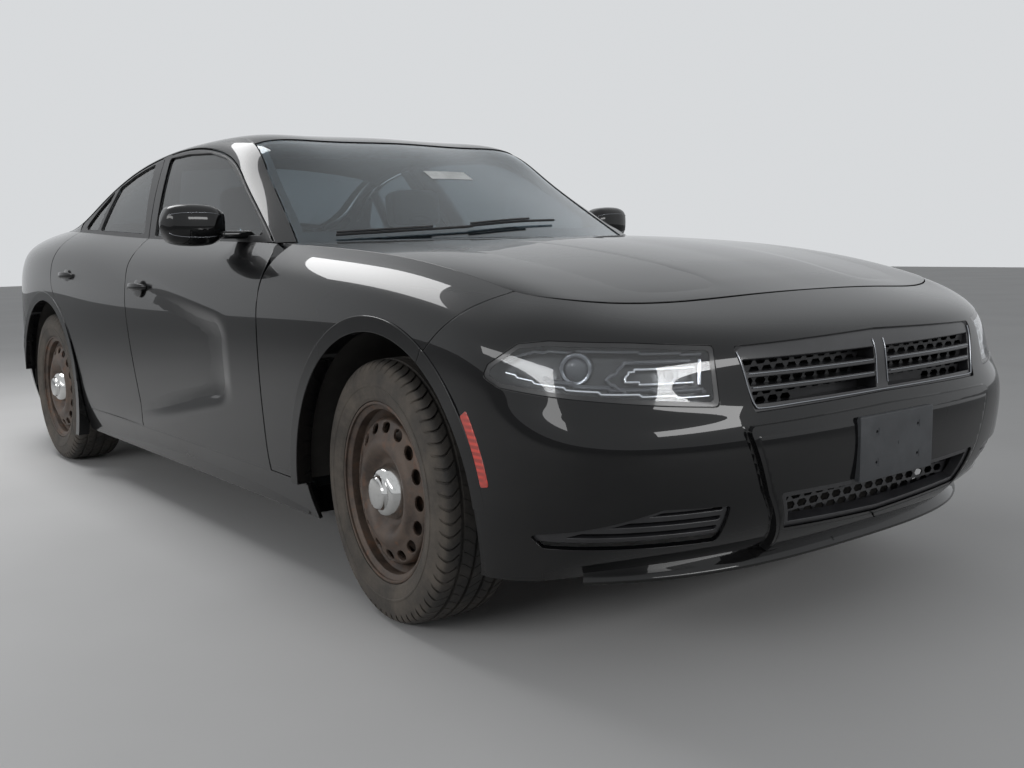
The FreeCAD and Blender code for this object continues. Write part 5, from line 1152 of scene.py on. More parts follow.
def nose_skin():
    """Bumper skin, with openings for lamps, vents and grilles and the snout pushed out."""
    place, normal = side_grid((-6.45, 6.45), (0.0, BELT_V), 8.0)
    bm = sheet(place, normal)
    outline = moved(FRONT_BUMPER_LINE, EDGE) + [(FAR, 960), (FAR, 150)]
    trim(bm, outline, SIDE_VIEW, "inside")
    trim(bm, arch_hole("front", 13), SIDE_VIEW, "outside")
    for outline, view in ((LAMP_OUTLINE, LAMP_VIEW), (LAMP_OUTLINE, mirrored_view(LAMP_VIEW)),
                          (VENT_OUTLINE, FRONT_VIEW), (VENT_OUTLINE, mirrored_view(FRONT_VIEW)),
                          (GRILLE_OUTLINE, FRONT_VIEW), (LOWER_GRILLE_OUTLINE, FRONT_VIEW)):
        trim(bm, rounded(inset(outline, -EDGE_INSET), 12), view, "outside")
    score(bm, SNOUT_OUTLINE, FRONT_VIEW)
    score(bm, inset(SNOUT_OUTLINE, SNOUT_RAMP), FRONT_VIEW)
    bm.normal_update()
    verts = list(bm.verts)
    rise = snout_rise(np.array([vert.co for vert in verts]))
    for vert, height, ahead in zip(verts, rise, [vert.normal.copy() for vert in verts]):
        if height:
            vert.co += ahead * height
    fold_edges(bm)
    skin = finish("front_bumper_skin", bm, "body", PAINT, "black_paint")
    print("nose", len(skin.data.polygons), "faces")


nose_skin()

# %% Roof and its rails
def u_at(x):
    """Parameter of the roof's middle line at this x."""
    us = np.linspace(0, ROOF_U, 3000)
    return float(np.interp(-x, -roof_points(us, np.full(3000, 2.0))[:, 0], us))


HEADER_U, BACKLIGHT_U = u_at(HEADER_X), u_at(BACKLIGHT_TOP_X)
panel("roof_skin", "body", side_grid((HEADER_U, BACKLIGHT_U), (SCREEN_V + 0.006, 4 - SCREEN_V - 0.006), 14.0,
                                     roof_points))
panel("roof_rail_skin_left", "body",
      side_grid((0.02, ROOF_U - 0.05), (0.012, SCREEN_V - 0.004), 6.0, roof_points), twin=True)

# %% [markdown]
# ## Steel wheels and tyres
# Rim, disc and cap are round, so each is a section turned about the axle by a Screw modifier. The disc's
# front is a pressed sheet with sixteen oval vents, trimmed and folded like a body panel. The tyre is a
# grid whose lines follow the grooves, so that the tread blocks keep crisp walls.

# %% Turned pieces
TRACK = {"front": 805.5, "rear": 810}
STEER_ANGLE, STEER_X, STEER_Y = math.radians(-5), 1580, 745.5


def wheel_place(axle, sign):
    """Where a wheel stands: made about the Y axis, outer side towards +Y."""
    turn = Matrix.Rotation(0 if sign > 0 else math.pi, 4, "Z")
    if axle == "rear":
        return Matrix.Translation((WHEEL_X["rear"], sign * TRACK["rear"], TYRE_RADIUS)) @ turn
    out = Vector((0, sign * (TRACK["front"] - STEER_Y), 0))
    out.rotate(Matrix.Rotation(STEER_ANGLE, 3, "Z"))
    centre = Vector((STEER_X, sign * STEER_Y, TYRE_RADIUS)) + out
    return Matrix.Translation(centre) @ Matrix.Rotation(STEER_ANGLE, 4, "Z") @ turn


def turned(name, section, steps=96, bevel=0.0, closed=True):
    """Piece turned about the Y axis from (radius, offset) points in millimetres."""
    mesh = bpy.data.meshes.new(name)
    count = len(section)
    links = [(i, (i + 1) % count) for i in range(count if closed else count - 1)]
    mesh.from_pydata([(r, a, 0) for r, a in section], links, [])
    piece = added(name, mesh)
    modify(piece, "SCREW", axis="Y", steps=steps, render_steps=steps, use_merge_vertices=True,
           merge_threshold=0.01)
    outwards(piece)
    if bevel:
        soften(piece, bevel)
    return piece


# %% Rim, disc and cap
PROUD = 0.9
RIM_SECTION = [(246, 102.5), (247, 94.5), (232, 88.5), (232, 62.5), (201, 40.5), (201, -52.5), (232, -72.5),
               (232, -88.5), (246, -94.5), (246, -102.5), (239, -102.5), (239, -94.5), (225, -88.5),
               (225, -72.5), (194, -52.5), (194, 40.5), (225, 62.5), (225, 88.5), (240, 94.5), (239, 102.5)]
RIM_OUTER_COUNT, RIM_WIDEN, RIM_ROUND = 10, 1.004, 2.4
rim = turned("rim", [(r + (PROUD if i < RIM_OUTER_COUNT else -PROUD), a * RIM_WIDEN)
                     for i, (r, a) in enumerate(RIM_SECTION)], 128, RIM_ROUND)
# Radius and distance outwards, from the hub hole over the raised ring to the skirt in the rim's well.
DISC_PROFILE = [(36.5, 70), (60, 70), (80, 70), (92, 74), (106, 89), (118, 98.5), (130, 101.5), (142, 98.5),
                (156, 91), (176, 85), (190, 80.5), (196, 76), (198.5, 69), (199, 55), (199.5, 40)]
VENT_COUNT, VENT_CIRCLE, VENT_HALF_LENGTH, VENT_HALF_WIDTH, VENT_SQUARE = 16, 177, 23.5, 17.0, 0.8
VENT_POINTS, VENT_FOLD, VENT_WALL = 28, 2.6, 5
DISC_STEPS = np.diff(np.array(DISC_PROFILE, float), axis=0)
DISC_RUN = np.concatenate([[0], np.cumsum(np.linalg.norm(DISC_STEPS, axis=1))])


def disc_points(turns, runs):
    """Disc at these angles and distances along its section."""
    radii, axial = (through(list(zip(DISC_RUN, column)), runs) for column in zip(*DISC_PROFILE))
    return np.stack([radii * np.cos(turns), axial, radii * np.sin(turns)], 1)


def vent_outline(turn):
    """Oval vent at this angle round the disc."""
    oval = []
    for t in 2 * math.pi * np.arange(VENT_POINTS) / VENT_POINTS:
        along = VENT_HALF_LENGTH * math.copysign(abs(math.cos(t)) ** VENT_SQUARE, math.cos(t))
        out = VENT_CIRCLE + VENT_HALF_WIDTH * math.sin(t)
        oval.append((out * math.cos(turn) - along * math.sin(turn),
                     out * math.sin(turn) + along * math.cos(turn)))
    return oval


def disc_sheet():
    """Pressed front of the wheel: a turned grid, its vents trimmed out and their edges folded in."""
    place, _ = own_grid(disc_points, (0, 2 * math.pi), (0, DISC_RUN[-1]), (289, 60))
    across = np.gradient(place, axis=1)
    around = np.stack([-place[..., 2], 0 * place[..., 0], place[..., 0]], -1)
    normal = unit(np.cross(across, around))
    away = place * [1, 0, 1] / 200 + [0, 1, 0]
    bm = sheet(place, normal * np.sign((normal * away).sum(-1, keepdims=True)), PROUD)
    bmesh.ops.remove_doubles(bm, verts=bm.verts, dist=0.01)
    for turn in 2 * math.pi * np.arange(VENT_COUNT) / VENT_COUNT:
        trim(bm, vent_outline(turn), SIDE_VIEW, "outside")
    fold_edges(bm, VENT_FOLD, VENT_WALL)
    piece = as_piece("disc", bm)
    all_smooth(piece.data)
    return piece


disc = disc_sheet()
CAP_SECTION = [(0, 70.5), (76, 70.5), (77, 74), (76, 78), (73.5, 84), (70.5, 91), (67, 99), (63.5, 104.5),
               (59, 108), (52, 110), (47.5, 111), (46, 113.5), (44.5, 120), (41, 124), (32, 126), (18, 126.8),
               (0, 127)]
cap = turned("cap", CAP_SECTION, 72, closed=False)
smooth_by_angle(cap, 28)
print("rim, disc, cap", [len(part.data.polygons) for part in (rim, disc, cap)], "faces")

# %% Tyre
TREAD_HALF = [(0, 361, 0, 0.4), (9, 361, 0, 0.4), (16, 361, 0, 0.4), (17.2, 361, 1, 1), (24.8, 361, 1, 1),
              (26, 361, 0, 0.4), (36, 360.8, 0, 0.45), (47, 360.4, 0, 0.45), (56, 359.8, 0, 0.45),
              (57.2, 359.7, 1, 1), (65.8, 359, 1, 1), (67, 358.9, 0, 0.8), (77, 357.9, 0, 1), (87, 356, 0, 1),
              (95, 352.5, 0, 1), (101, 347.5, 0, 1), (105.5, 341, 0, 0.9), (108.4, 334, 0, 0.5)]
WALL_HALF = [(110.6, 328), (113.4, 318), (115.2, 309), (116, 300), (116, 293), (117.6, 291.5), (117.6, 288),
             (115.4, 286), (114.2, 279), (112, 270), (109.8, 263), (109.6, 258), (106, 252.5), (103.5, 248.6),
             (94, 248.6), (86, 300), (60, 338)]
PITCHES, GROOVE_DEPTH = 66, 7.5
ROWS = [(-0.115, 0), (-0.085, 1), (0.085, 1), (0.115, 0), (0.28, 0), (0.5, 0), (0.72, 0)]


def tyre_mesh():
    """Tyre about the Y axis: rows follow the cross grooves, columns follow the ring grooves."""
    half = [(a, r, ring, cross) for a, r, ring, cross in TREAD_HALF] + [(a, r, 0, 0) for a, r in WALL_HALF]
    columns = [(-a, r, ring, cross) for a, r, ring, cross in half[:0:-1]] + half
    a, r, ring, cross = np.array(columns, float).T
    pitch = 2 * math.pi / PITCHES
    wave = 0.30 * np.sin(a / 108 * 3 * math.pi) + 0.22 * np.sign(a) * ease((np.abs(a) - 62) / 45)
    tread = (np.abs(a) < 109).astype(float)
    narrow = np.where(np.abs(a) < 66, 0.42, 1.0)
    rings = []
    for k in range(PITCHES):
        for share, deep in ROWS:
            width = narrow if abs(share) < 0.2 else 1.0
            turn = (k + share * width + wave * tread) * pitch
            across = deep * cross * np.where(np.abs(a) < 66, 0.75, 1.0)
            depth = GROOVE_DEPTH * np.maximum(ring, across) * tread
            radius = r - depth
            rings.append(np.stack([radius * np.cos(turn), a, radius * np.sin(turn)], 1))
    place = np.array(rings)
    bm = bmesh.new()
    wall, ring = (bm.verts.layers.float.new(name) for name in ("sidewall", "ring"))
    verts = [[bm.verts.new(p) for p in row] for row in place]
    for row in verts:
        for vert, offset, radius in zip(row, a, r):
            vert[wall], vert[ring] = float(ease((abs(offset) - 92) / 14)), radius * MM
    for one, other in zip(verts, verts[1:] + verts[:1]):
        for j in range(len(one)):
            n = (j + 1) % len(one)
            bm.faces.new((one[j], one[n], other[n], other[j]))
    bmesh.ops.recalc_face_normals(bm, faces=bm.faces)
    piece = as_piece("tyre", bm)
    smooth_by_angle(piece, 32)
    return piece


tyre = tyre_mesh()
for axle in ("front", "rear"):
    for side, sign in SIDES:
        tag, body, place = f"{axle}_{side}", f"{axle}_wheel_{side}", wheel_place(axle, sign)
        dress(copy_of(rim, "rim_" + tag, place), body, WHEEL, "wheel_steel")
        dress(copy_of(disc, "wheel_disc_" + tag, place), body, WHEEL, "wheel_steel")
        dress(copy_of(cap, "centre_cap_" + tag, place), body, CAP_METAL, "wheel_steel")
        dress(copy_of(tyre, "tyre_tread_" + tag, place), body, RUBBER, "tyre_rubber", [f"{axle}_tyre_{side}"])
for part in (rim, disc, cap, tyre):
    bpy.data.objects.remove(part)

# %% [markdown]
# ## Glass and the frames round it
# Panes are thin closed shells on the same curved surface as the solids, so that light bends through two
# faces, as in real glass. The frames and pillar covers round them are satin black sheets. The windscreen
# carries a dark ceramic border printed inside its edge.

# %% Panes
def smooth_again(piece, angle=40):
    """Give a thickened sheet plain normals of its own."""
    only(piece)
    if SHADING in piece.data.attributes:
        piece.data.attributes.remove(piece.data.attributes[SHADING])
    bpy.ops.mesh.customdata_custom_splitnormals_clear()
    smooth_by_angle(piece, angle)


def shell(name, body, grid, outline=None, view=SIDE_VIEW, material=SIDE_GLASS, slot="dark_glass",
          thickness=4.0, sunk=0.0, replaces=()):
    """Thin closed pane: the trimmed sheet is given its thickness inwards."""
    place, normal = grid
    bm = sheet(place, normal, -sunk)
    if outline:
        trim(bm, outline, view, "inside")
    bmesh.ops.dissolve_degenerate(bm, dist=0.02, edges=bm.edges)
    pane = finish(name, bm, body, material, slot)
    modify(pane, "SOLIDIFY", thickness=thickness * MM, offset=-1, use_even_offset=False)
    smooth_again(pane)
    if replaces:
        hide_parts(*replaces)
    return pane


def window_grid(x_rear, x_front, low, high, step=12.0):
    xs, ws = (x_rear, x_front), (low, high)
    shape = (int((x_front - x_rear) / step) + 2, int(420 / step))
    place, normal = own_grid(window_points, xs, ws, shape)
    return place, normal * np.sign(normal[..., 1:2])


SILL_ROUND = 16
FRONT_WINDOW = [(680, 1060), (560, 1130), (330, 1257), (118, 1354), (-60, 1388), (-290, 1401), (-500, 1399),
                (-345, 1072)]
REAR_WINDOW = [(-470, 1084), (-668, 1386), (-780, 1371), (-905, 1346), (-1030, 1308), (-1042, 1298),
               (-1052, 1108)]
QUARTER_WINDOW = [(-1092, 1110), (-1082, 1292), (-1130, 1266), (-1210, 1205), (-1302, 1118)]
GLASS_SUNK = 9.2
for name, door, outline, x_range in (("front_door_glass", "front_door", FRONT_WINDOW, (-520, 720)),
                                     ("rear_door_glass", "rear_door", REAR_WINDOW, (-1080, -440)),
                                     ("quarter_glass", "rear_door", QUARTER_WINDOW, (-1330, -1070))):
    solids = [] if name == "quarter_glass" else [name + "_left"]
    pane = shell(name + "_pane_left", door + "_left", window_grid(*x_range, 0.0, 0.985),
                 rounded(inset(outline, 1.0), SILL_ROUND), sunk=GLASS_SUNK, replaces=solids)
    other_side(pane, replaces=[node.replace("left", "right") for node in solids])
SCREEN_SUNK, SCREEN_EDGE = 3, 0.014
SCREEN_SPAN = (SCREEN_V + SCREEN_EDGE, 4 - SCREEN_V - SCREEN_EDGE)
for name, u_range, material in (("windscreen", (0.015, HEADER_U - SCREEN_EDGE), SCREEN_GLASS),
                                ("rear_screen", (BACKLIGHT_U + SCREEN_EDGE, SCREEN_END_U), SIDE_GLASS)):
    shell(name, "body", side_grid(u_range, SCREEN_SPAN, 16.0, roof_points), material=material,
          slot="clear_glass", thickness=5, sunk=SCREEN_SUNK, replaces=["fixed_glass"])
print("panes", count_of("pane"))

# %% Ceramic border
BORDER_SUNK = 9


def border(name, u_range, v_range, width_u, width_v):
    """Frame-shaped band just under the glass: the grid without its middle."""
    place, normal = side_grid(u_range, v_range, 10.0, roof_points)
    bm = sheet(place, normal, -BORDER_SUNK)
    rows, columns = (n - 1 for n in place.shape[:2])
    span_u, span_v = u_range[1] - u_range[0], v_range[1] - v_range[0]
    drop = []
    for k, face in enumerate(bm.faces):
        u, v = (k // columns + 0.5) / rows * span_u, (k % columns + 0.5) / columns * span_v
        if width_u[0] < u < span_u - width_u[1] and width_v < v < span_v - width_v:
            drop.append(face)
    bmesh.ops.delete(bm, geom=drop, context="FACES")
    print(name, len(bm.faces), "faces")
    return finish(name, bm, "body", TRIM, "black_trim")


BORDER_V = (SCREEN_V + 0.02, 3.68)
border("screen_border", (0.02, HEADER_U - 0.02), BORDER_V, (0.10, 0.11), 0.085)
border("rear_screen_border", (BACKLIGHT_U + 0.02, SCREEN_END_U - 0.01), BORDER_V, (0.12, 0.12), 0.10)

# %% Window frames, pillar covers and belt trim
FRAME_SUNK, ROOF_LAP = 1.2, 12


def frame_sheet(name, body, outline, windows, x_range):
    bm = sheet(*window_grid(*x_range, 0.0, 1.0, 10.0), -FRAME_SUNK)
    trim(bm, outline, SIDE_VIEW, "inside")
    for window in windows:
        trim(bm, rounded(inset(window, -EDGE_INSET), SILL_ROUND), SIDE_VIEW, "outside")
    fold_edges(bm, 1.5, 9)
    print(name, len(bm.faces), "faces")
    other_side(finish(name, bm, body, TRIM, "black_trim"))


top_edge = [(x, z - ROOF_LAP) for x, z in DOOR_SAMPLES[::12, [0, 2]] if -1385 < x < 745]
upper_mid = [(x, z) for x, z in curved(MID_SHUT) if z > 1000]
front_top = [(x, z) for x, z in top_edge if x > -600]
front_outline = [(752, 1040)] + front_top + moved(upper_mid[::-1], EDGE)
frame_sheet("front_window_frame_left", "front_door_left", front_outline, [FRONT_WINDOW], (-620, 762))
rear_top = [(x, z) for x, z in top_edge if -1380 < x < -480]
rear_outline = moved(upper_mid, -EDGE) + rear_top + [(-1385, 1120), (-1372, 1090)]
frame_sheet("rear_window_frame_left", "rear_door_left", rear_outline, [REAR_WINDOW, QUARTER_WINDOW],
            (-1392, -380))

# %% [markdown]
# ## Lamps
# A headlamp is a deep black bowl behind one clear lens. It holds a projector, two bent light pipes and a
# grey reflector step. The bowl and lens are stretches of the nose surface, so the lens lies flush.

# %% Headlamp surface
LAMP_U, LAMP_V = (1.2, 6.0), (2.2, 5.8)
LAMP_RING = bright_metal("lamp_ring", (0.28, 0.29, 0.31), 0.22)
LAMP_PLACES, LAMP_NORMALS = (part.reshape(-1, 3) for part in side_grid(LAMP_U, LAMP_V, 6.0))
LAMP_AHEAD = Vector((math.cos(LAMP_ANGLE), math.sin(LAMP_ANGLE), 0))


def lamp_part(name, depth, outline, material, thickness=0.0, wall=8):
    """Stretch of the nose at a depth: a folded sheet or, with a thickness, a closed lens."""
    bm = sheet(*side_grid(LAMP_U, LAMP_V, 9.0), -depth)
    trim(bm, outline, LAMP_VIEW, "inside")
    if not thickness:
        fold_edges(bm, 1.5, wall)
    part = finish(name, bm, "body", material, "lamp_glass")
    if thickness:
        modify(part, "SOLIDIFY", thickness=thickness * MM, offset=-1)
        smooth_again(part)
    return part


def lamp_point(across, z, depth=0.0):
    """Point on the left lamp's surface, found by its place square to the lamp."""
    flat = LAMP_PLACES @ LAMP_VIEW.T
    i = int(np.argmin((flat[:, 0] - across) ** 2 + (flat[:, 1] - z) ** 2))
    return Vector(LAMP_PLACES[i] - LAMP_NORMALS[i] * depth)


def light_pipe(name, points, radius, depth, material):
    """Bent bar drawn square to the lamp."""
    places = [lamp_point(across, z, depth) for across, z in curved(points, 6.0)]
    return tube(name, places, radius, "body", material, "lamp_glass")


# %% Projectors
DOME_FLAT, DOME_BACK = 0.55, 14


def projector(number, across, z, radius, depth):
    """A satin ring and, set back in it, a domed lens."""
    rim_radius = radius + 11
    ring = turned("ring", [(radius, 0), (radius + 7, 2), (rim_radius, -4), (rim_radius, -26), (radius, -26)],
                  64, 1.2)
    bpy.ops.object.select_all(action="DESELECT")
    bpy.ops.mesh.primitive_uv_sphere_add(segments=48, ring_count=24, radius=radius + 1)
    dome = bpy.context.object
    bpy.ops.object.mode_set(mode="EDIT")
    bpy.ops.mesh.bisect(plane_co=(0, 0, 0), plane_no=(0, 0, 1), clear_inner=True, use_fill=True)
    bpy.ops.object.mode_set(mode="OBJECT")
    dome.data.transform(Matrix.Translation((0, -DOME_BACK, 0)) @ Matrix.Rotation(-math.pi / 2, 4, "X")
                        @ Matrix.Diagonal((1, 1, DOME_FLAT, 1)))
    only(dome)
    bpy.ops.object.shade_smooth()
    turn = LAMP_AHEAD.to_track_quat("Y", "Z").to_matrix().to_4x4()
    made = []
    for part, material in ((ring, LAMP_RING), (dome, LAMP_GREY)):
        into_place(part, Matrix.Translation(lamp_point(across, z, depth)) @ turn)
        part.name = f"lamp_unit_{number + len(made)}_left"
        made.append(dress(part, "body", material, "lamp_glass"))
    return made


# %% Headlamp bowl, lens and light pipes
lamp_pieces = [
    lamp_part("headlamp_surround_left", 1.0, rounded(inset(LAMP_OUTLINE, 1.5), 12), LAMP_BLACK),
    lamp_part("headlamp_bowl_left", 34, rounded(inset(LAMP_OUTLINE, 4), 10), LAMP_BLACK, wall=4),
    lamp_part("headlamp_lens_left", 1.0, rounded(inset(LAMP_OUTLINE, 10), 12), LENS, thickness=2.5)]
surround, bowl = lamp_pieces[:2]
bm = bmesh.new()
bm.from_mesh(surround.data)
bmesh.ops.scale(bm, vec=(1 / MM,) * 3, verts=bm.verts)
trim(bm, rounded(inset(LAMP_OUTLINE, 11), 12), LAMP_VIEW, "outside")
bmesh.ops.scale(bm, vec=(MM,) * 3, verts=bm.verts)
bm.to_mesh(surround.data)
bm.free()
# Each pipe: its points across the lamp and up, its radius, its depth behind the lens and its finish.
PIPES = [
    ("lamp_pipe_inner_left", [(-1452, 762), (-1340, 764), (-1312, 762), (-1296, 742), (-1276, 724),
                              (-1300, 705), (-1318, 690)], 4.2, 16, LAMP_GREY),
    ("lamp_pipe_upper_left", [(-1462, 744), (-1352, 745), (-1330, 742), (-1316, 728), (-1330, 716),
                              (-1462, 712)], 3.4, 13, LAMP_BRIGHT),
    ("lamp_bar_left", [(-1474, 762), (-1473, 735), (-1470, 708)], 5.0, 12, LAMP_BRIGHT),
    ("lamp_low_line_left", [(-1500, 678), (-1400, 684), (-1250, 697), (-1120, 716), (-1040, 737)],
     3.6, 14, LAMP_BRIGHT),
    ("lamp_step_left", [(-1495, 692), (-1400, 697), (-1250, 709), (-1130, 727)], 5.5, 24, LAMP_GREY),
    ("lamp_top_line_left", [(-1478, 776), (-1320, 786), (-1150, 789), (-1080, 781), (-1030, 757)],
     3.0, 18, LAMP_GREY)]
lamp_pieces += [light_pipe(*pipe) for pipe in PIPES]
lamp_pieces += projector(9, -1205, 748, 27, 20) + projector(11, -1408, 729, 15, 26)
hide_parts("headlamps")
for piece in lamp_pieces:
    other_side(piece, "body", ["headlamps"] if piece == bowl else ())
print("headlamp pieces", len(lamp_pieces))

# %% [markdown]
# ## Grilles, vents and lip
# Each grille front is one moulded face: a stretch of the nose with cells cut out between the bars, and
# edges rolled back deep. The honeycomb screens behind are the solids' own.

# %% Grille faces
BAR_HEIGHTS, BAR_HALF, FRAME_WIDTH, POST_HALF = (716, 684), 4.2, 9, 22
CELLS_TOP_Z, CELLS_LOW_Z, CELL_ROUND = 752.8, 648, 7


def moulded_face(name, outline, cells, u_range, v_range, depth, wall):
    """Stretch of the nose at a depth, with cells cut out and every edge rolled back deep."""
    bm = sheet(*side_grid(u_range, v_range, 7.0), -depth)
    trim(bm, rounded(outline, 10), FRONT_VIEW, "inside")
    for cell in cells:
        trim(bm, rounded(cell, CELL_ROUND), FRONT_VIEW, "outside")
    fold_edges(bm, 2.6, wall)
    print(name, len(bm.faces), "faces")
    return finish(name, bm, "body", GRILLE_BLACK, "black_trim")


def bar_reach(z):
    """Half width inside the upper grille's frame at a height: it narrows downwards."""
    return 500 - 32 * (782 - z) / 150 - FRAME_WIDTH


edges = [CELLS_TOP_Z] + [z for bar in BAR_HEIGHTS for z in (bar + BAR_HALF, bar - BAR_HALF)] + [CELLS_LOW_Z]
cells = [[(sign * POST_HALF, high), (sign * (bar_reach(high) - 3), high),
          (sign * (bar_reach(low) - 3), low), (sign * POST_HALF, low)]
         for high, low in zip(edges[::2], edges[1::2]) for sign in (1, -1)]
moulded_face("grille_face", inset(GRILLE_OUTLINE, 2), cells, (-2.6, 2.6), (2.6, 5.6), 4.5, 26)
moulded_face("lower_grille_face", inset(LOWER_GRILLE_OUTLINE, 2),
             [inset(LOWER_GRILLE_OUTLINE, FRAME_WIDTH + 4)], (-2.4, 2.4), (0.2, 3.6), -11, 24)

# %% Louvres of the corner vents
LOUVRE_GAPS = [(428, 417), (408, 393), (383, 367), (357, 343)]
VENT_INNER_Y, VENT_SLANT_Z = 552, 372


def vent_end(z):
    """Outer end of a gap: the vent narrows above its widest height."""
    return 868 - (z - VENT_SLANT_Z) * 3.0 if z > VENT_SLANT_Z else 862


cells = [[(VENT_INNER_Y, high), (vent_end(high), high), (vent_end(low), low), (VENT_INNER_Y, low)]
         for high, low in LOUVRE_GAPS]
other_side(moulded_face("vent_face_left", inset(VENT_OUTLINE, 2), cells, (1.6, 5.4), (0.4, 3.4), 7, 18))

# %% Bright edges of the upper grille
EDGE_METAL = bright_metal("dark_chrome", (0.30, 0.31, 0.33), 0.16)
NOSE_HEART = np.array([1200, 0, 560])


def on_surface(view, flat, u_range, v_range, depth=0.0):
    """Points of the lower body that look like these flat places in a view, found by Newton steps."""
    flat = np.array(flat, float)
    us, vs = [axis.ravel() for axis in np.meshgrid(np.linspace(*u_range, 60), np.linspace(*v_range, 50))]
    seen = side_points(us, vs) @ view.T
    best = [int(np.argmin(((seen - f) ** 2).sum(1))) for f in flat]
    u, v = us[best], vs[best]
    small = 1e-3
    for _ in range(6):
        here = side_points(u, v) @ view.T
        du = (side_points(u + small, v) @ view.T - here) / small
        dv = (side_points(u, v - small) @ view.T - here) / -small
        gap = flat - here
        det = du[:, 0] * dv[:, 1] - du[:, 1] * dv[:, 0]
        det = np.where(np.abs(det) < 1e-6, 1e-6, det)
        u = np.clip(u + (gap[:, 0] * dv[:, 1] - gap[:, 1] * dv[:, 0]) / det, *u_range)
        v = np.clip(v + (du[:, 0] * gap[:, 1] - du[:, 1] * gap[:, 0]) / det, v_range[0] + small, v_range[1])
    normal = unit(np.cross(side_points(u + small, v) - side_points(u - small, v),
                           side_points(u, np.minimum(v + small, BELT_V)) - side_points(u, v - small)))
    place = side_points(u, v)
    normal *= np.sign(np.einsum("nc,nc->n", normal, place - NOSE_HEART))[:, None]
    return place - normal * depth


def nose_tube(name, flat, radius, depth, material=EDGE_METAL):
    """Thin bar drawn on the nose as seen from in front."""
    dense = curved(flat, 7.0)
    points = on_surface(FRONT_VIEW, dense, (-2.6, 2.6), (2.6, 5.6), depth)
    return tube(name, points, radius, "body", material, "black_trim")


half_edge = [(0, 644), (300, 642.5), (440, 641), (462, 648), (474, 680), (484, 730), (492, 770)]
nose_tube("grille_bright_outline", [(-y, z) for y, z in half_edge[:0:-1]] + half_edge, 2.4, 2.2)
for side, sign in SIDES:
    for number, z in enumerate(BAR_HEIGHTS):
        line = [(sign * y, z + 3) for y in (POST_HALF + 14, 240, bar_reach(z) - 8)]
        nose_tube(f"grille_bar_edge_{number}_{side}", line, 1.7, 3.2)
    post = [(sign * (POST_HALF + out), z) for out, z in ((1, 770), (-1, 730), (1, 660))]
    nose_tube(f"grille_post_edge_{side}", post, 1.6, 3.4)
print("bright edges", count_of("edge"))

# %% [markdown]
# ### Chin lip
# A shelf under the nose is too thin and too curved for a trimmed sheet, so it is lofted: one section
# goes over its top, round its edge and back underneath, and is repeated along the bumper's foot.

# %% Chin lip
LIP_HALF_U, LIP_REACH, LIP_ROOT_INSET, LIP_PROUD = 3.3, 25, 16, 0.8
LIP_EDGE_Z, LIP_TOP_Z, LIP_EDGE_THICK, LIP_ROOT_THICK = 253, 316, 10, 44


def chin_lip():
    """Lofted shelf under the nose: over the top, round the edge and back underneath."""
    us = np.linspace(-LIP_HALF_U, LIP_HALF_U, 150)
    base = side_points(us, 0 * us)
    _, normal = grid_of(side_points, (-LIP_HALF_U, LIP_HALF_U), (0.98, 1.0), (150, 2))
    away = unit(normal[:, 0] * np.array([1, 1, 0]))
    section = [(t, 0) for t in np.linspace(0, 0.93, 9)] + [(1.0, 0.18), (1.03, 0.5), (1.0, 0.85)]
    section += [(t, 1) for t in np.linspace(0.93, 0, 7)]
    lines = []
    for t, under in section:
        clear = min(t, 1.0)
        top = LIP_EDGE_Z + (LIP_TOP_Z - LIP_EDGE_Z) * (1 - clear) ** 1.2
        drop = (LIP_ROOT_THICK + (LIP_EDGE_THICK - LIP_ROOT_THICK) * clear) * under
        place = base + away * (-LIP_ROOT_INSET + (LIP_REACH + LIP_ROOT_INSET) * t + LIP_PROUD)
        place[:, 2] = top - drop + LIP_PROUD * (1 - 2 * under)
        lines.append(place)
    lip = finish("chin_lip", lofted(np.array(lines).transpose(1, 0, 2)), "body", PAINT, "black_paint")
    smooth_by_angle(lip, 50)
    return lip


print("lip", len(chin_lip().data.polygons), "faces")

# %% Wheel arch bands and side markers
ARCH_BAND_Y, ARCH_BAND_WIDTH, LIP_LAID_BACK_Z = 953.4, 42, 690


def arc_band(axle, r_low, r_high, start, end, step=1.2):
    """Flat outline of a band that follows a wheel arch, between two angles in degrees."""
    angles = np.radians(np.arange(start, end + step / 2, step))
    centre = np.array([WHEEL_X[axle], TYRE_RADIUS])
    ring = np.stack([np.cos(angles), np.sin(angles)], 1)
    return [tuple(p) for p in centre + ring * r_high] + [tuple(p) for p in (centre + ring * r_low)[::-1]]


def arch_band(name, axle, start, end, rise=None):
    """Band round a wheel arch. Where rise is given, it grows out of the body's surface by that much."""
    r = ARCH_RADIUS[axle] + 1.6
    angles = (math.radians(start), math.radians(end))

    def points(turns, radii):
        x, z = WHEEL_X[axle] + radii * np.cos(turns), TYRE_RADIUS + radii * np.sin(turns)
        y = 0 * turns + ARCH_BAND_Y
        if rise:
            body = on_surface(SIDE_VIEW, np.stack([x, z], 1), (1.6, 7.0), (0.2, 5.0))[:, 1]
            y = np.minimum(y, body + 1.2 + rise * ease((turns - angles[0]) / (angles[1] - angles[0])))
        return np.stack([x, y, z], 1)

    place, normal = own_grid(points, angles, (r, r + ARCH_BAND_WIDTH - 3.2), (int((end - start) * 0.9) + 2, 5))
    bm = sheet(place, 0 * normal + np.array([0, 1.0, 0]), 0.0)
    fold_edges(bm, 2.2, 34)
    other_side(finish(name, bm, "body", PAINT, "black_paint"))


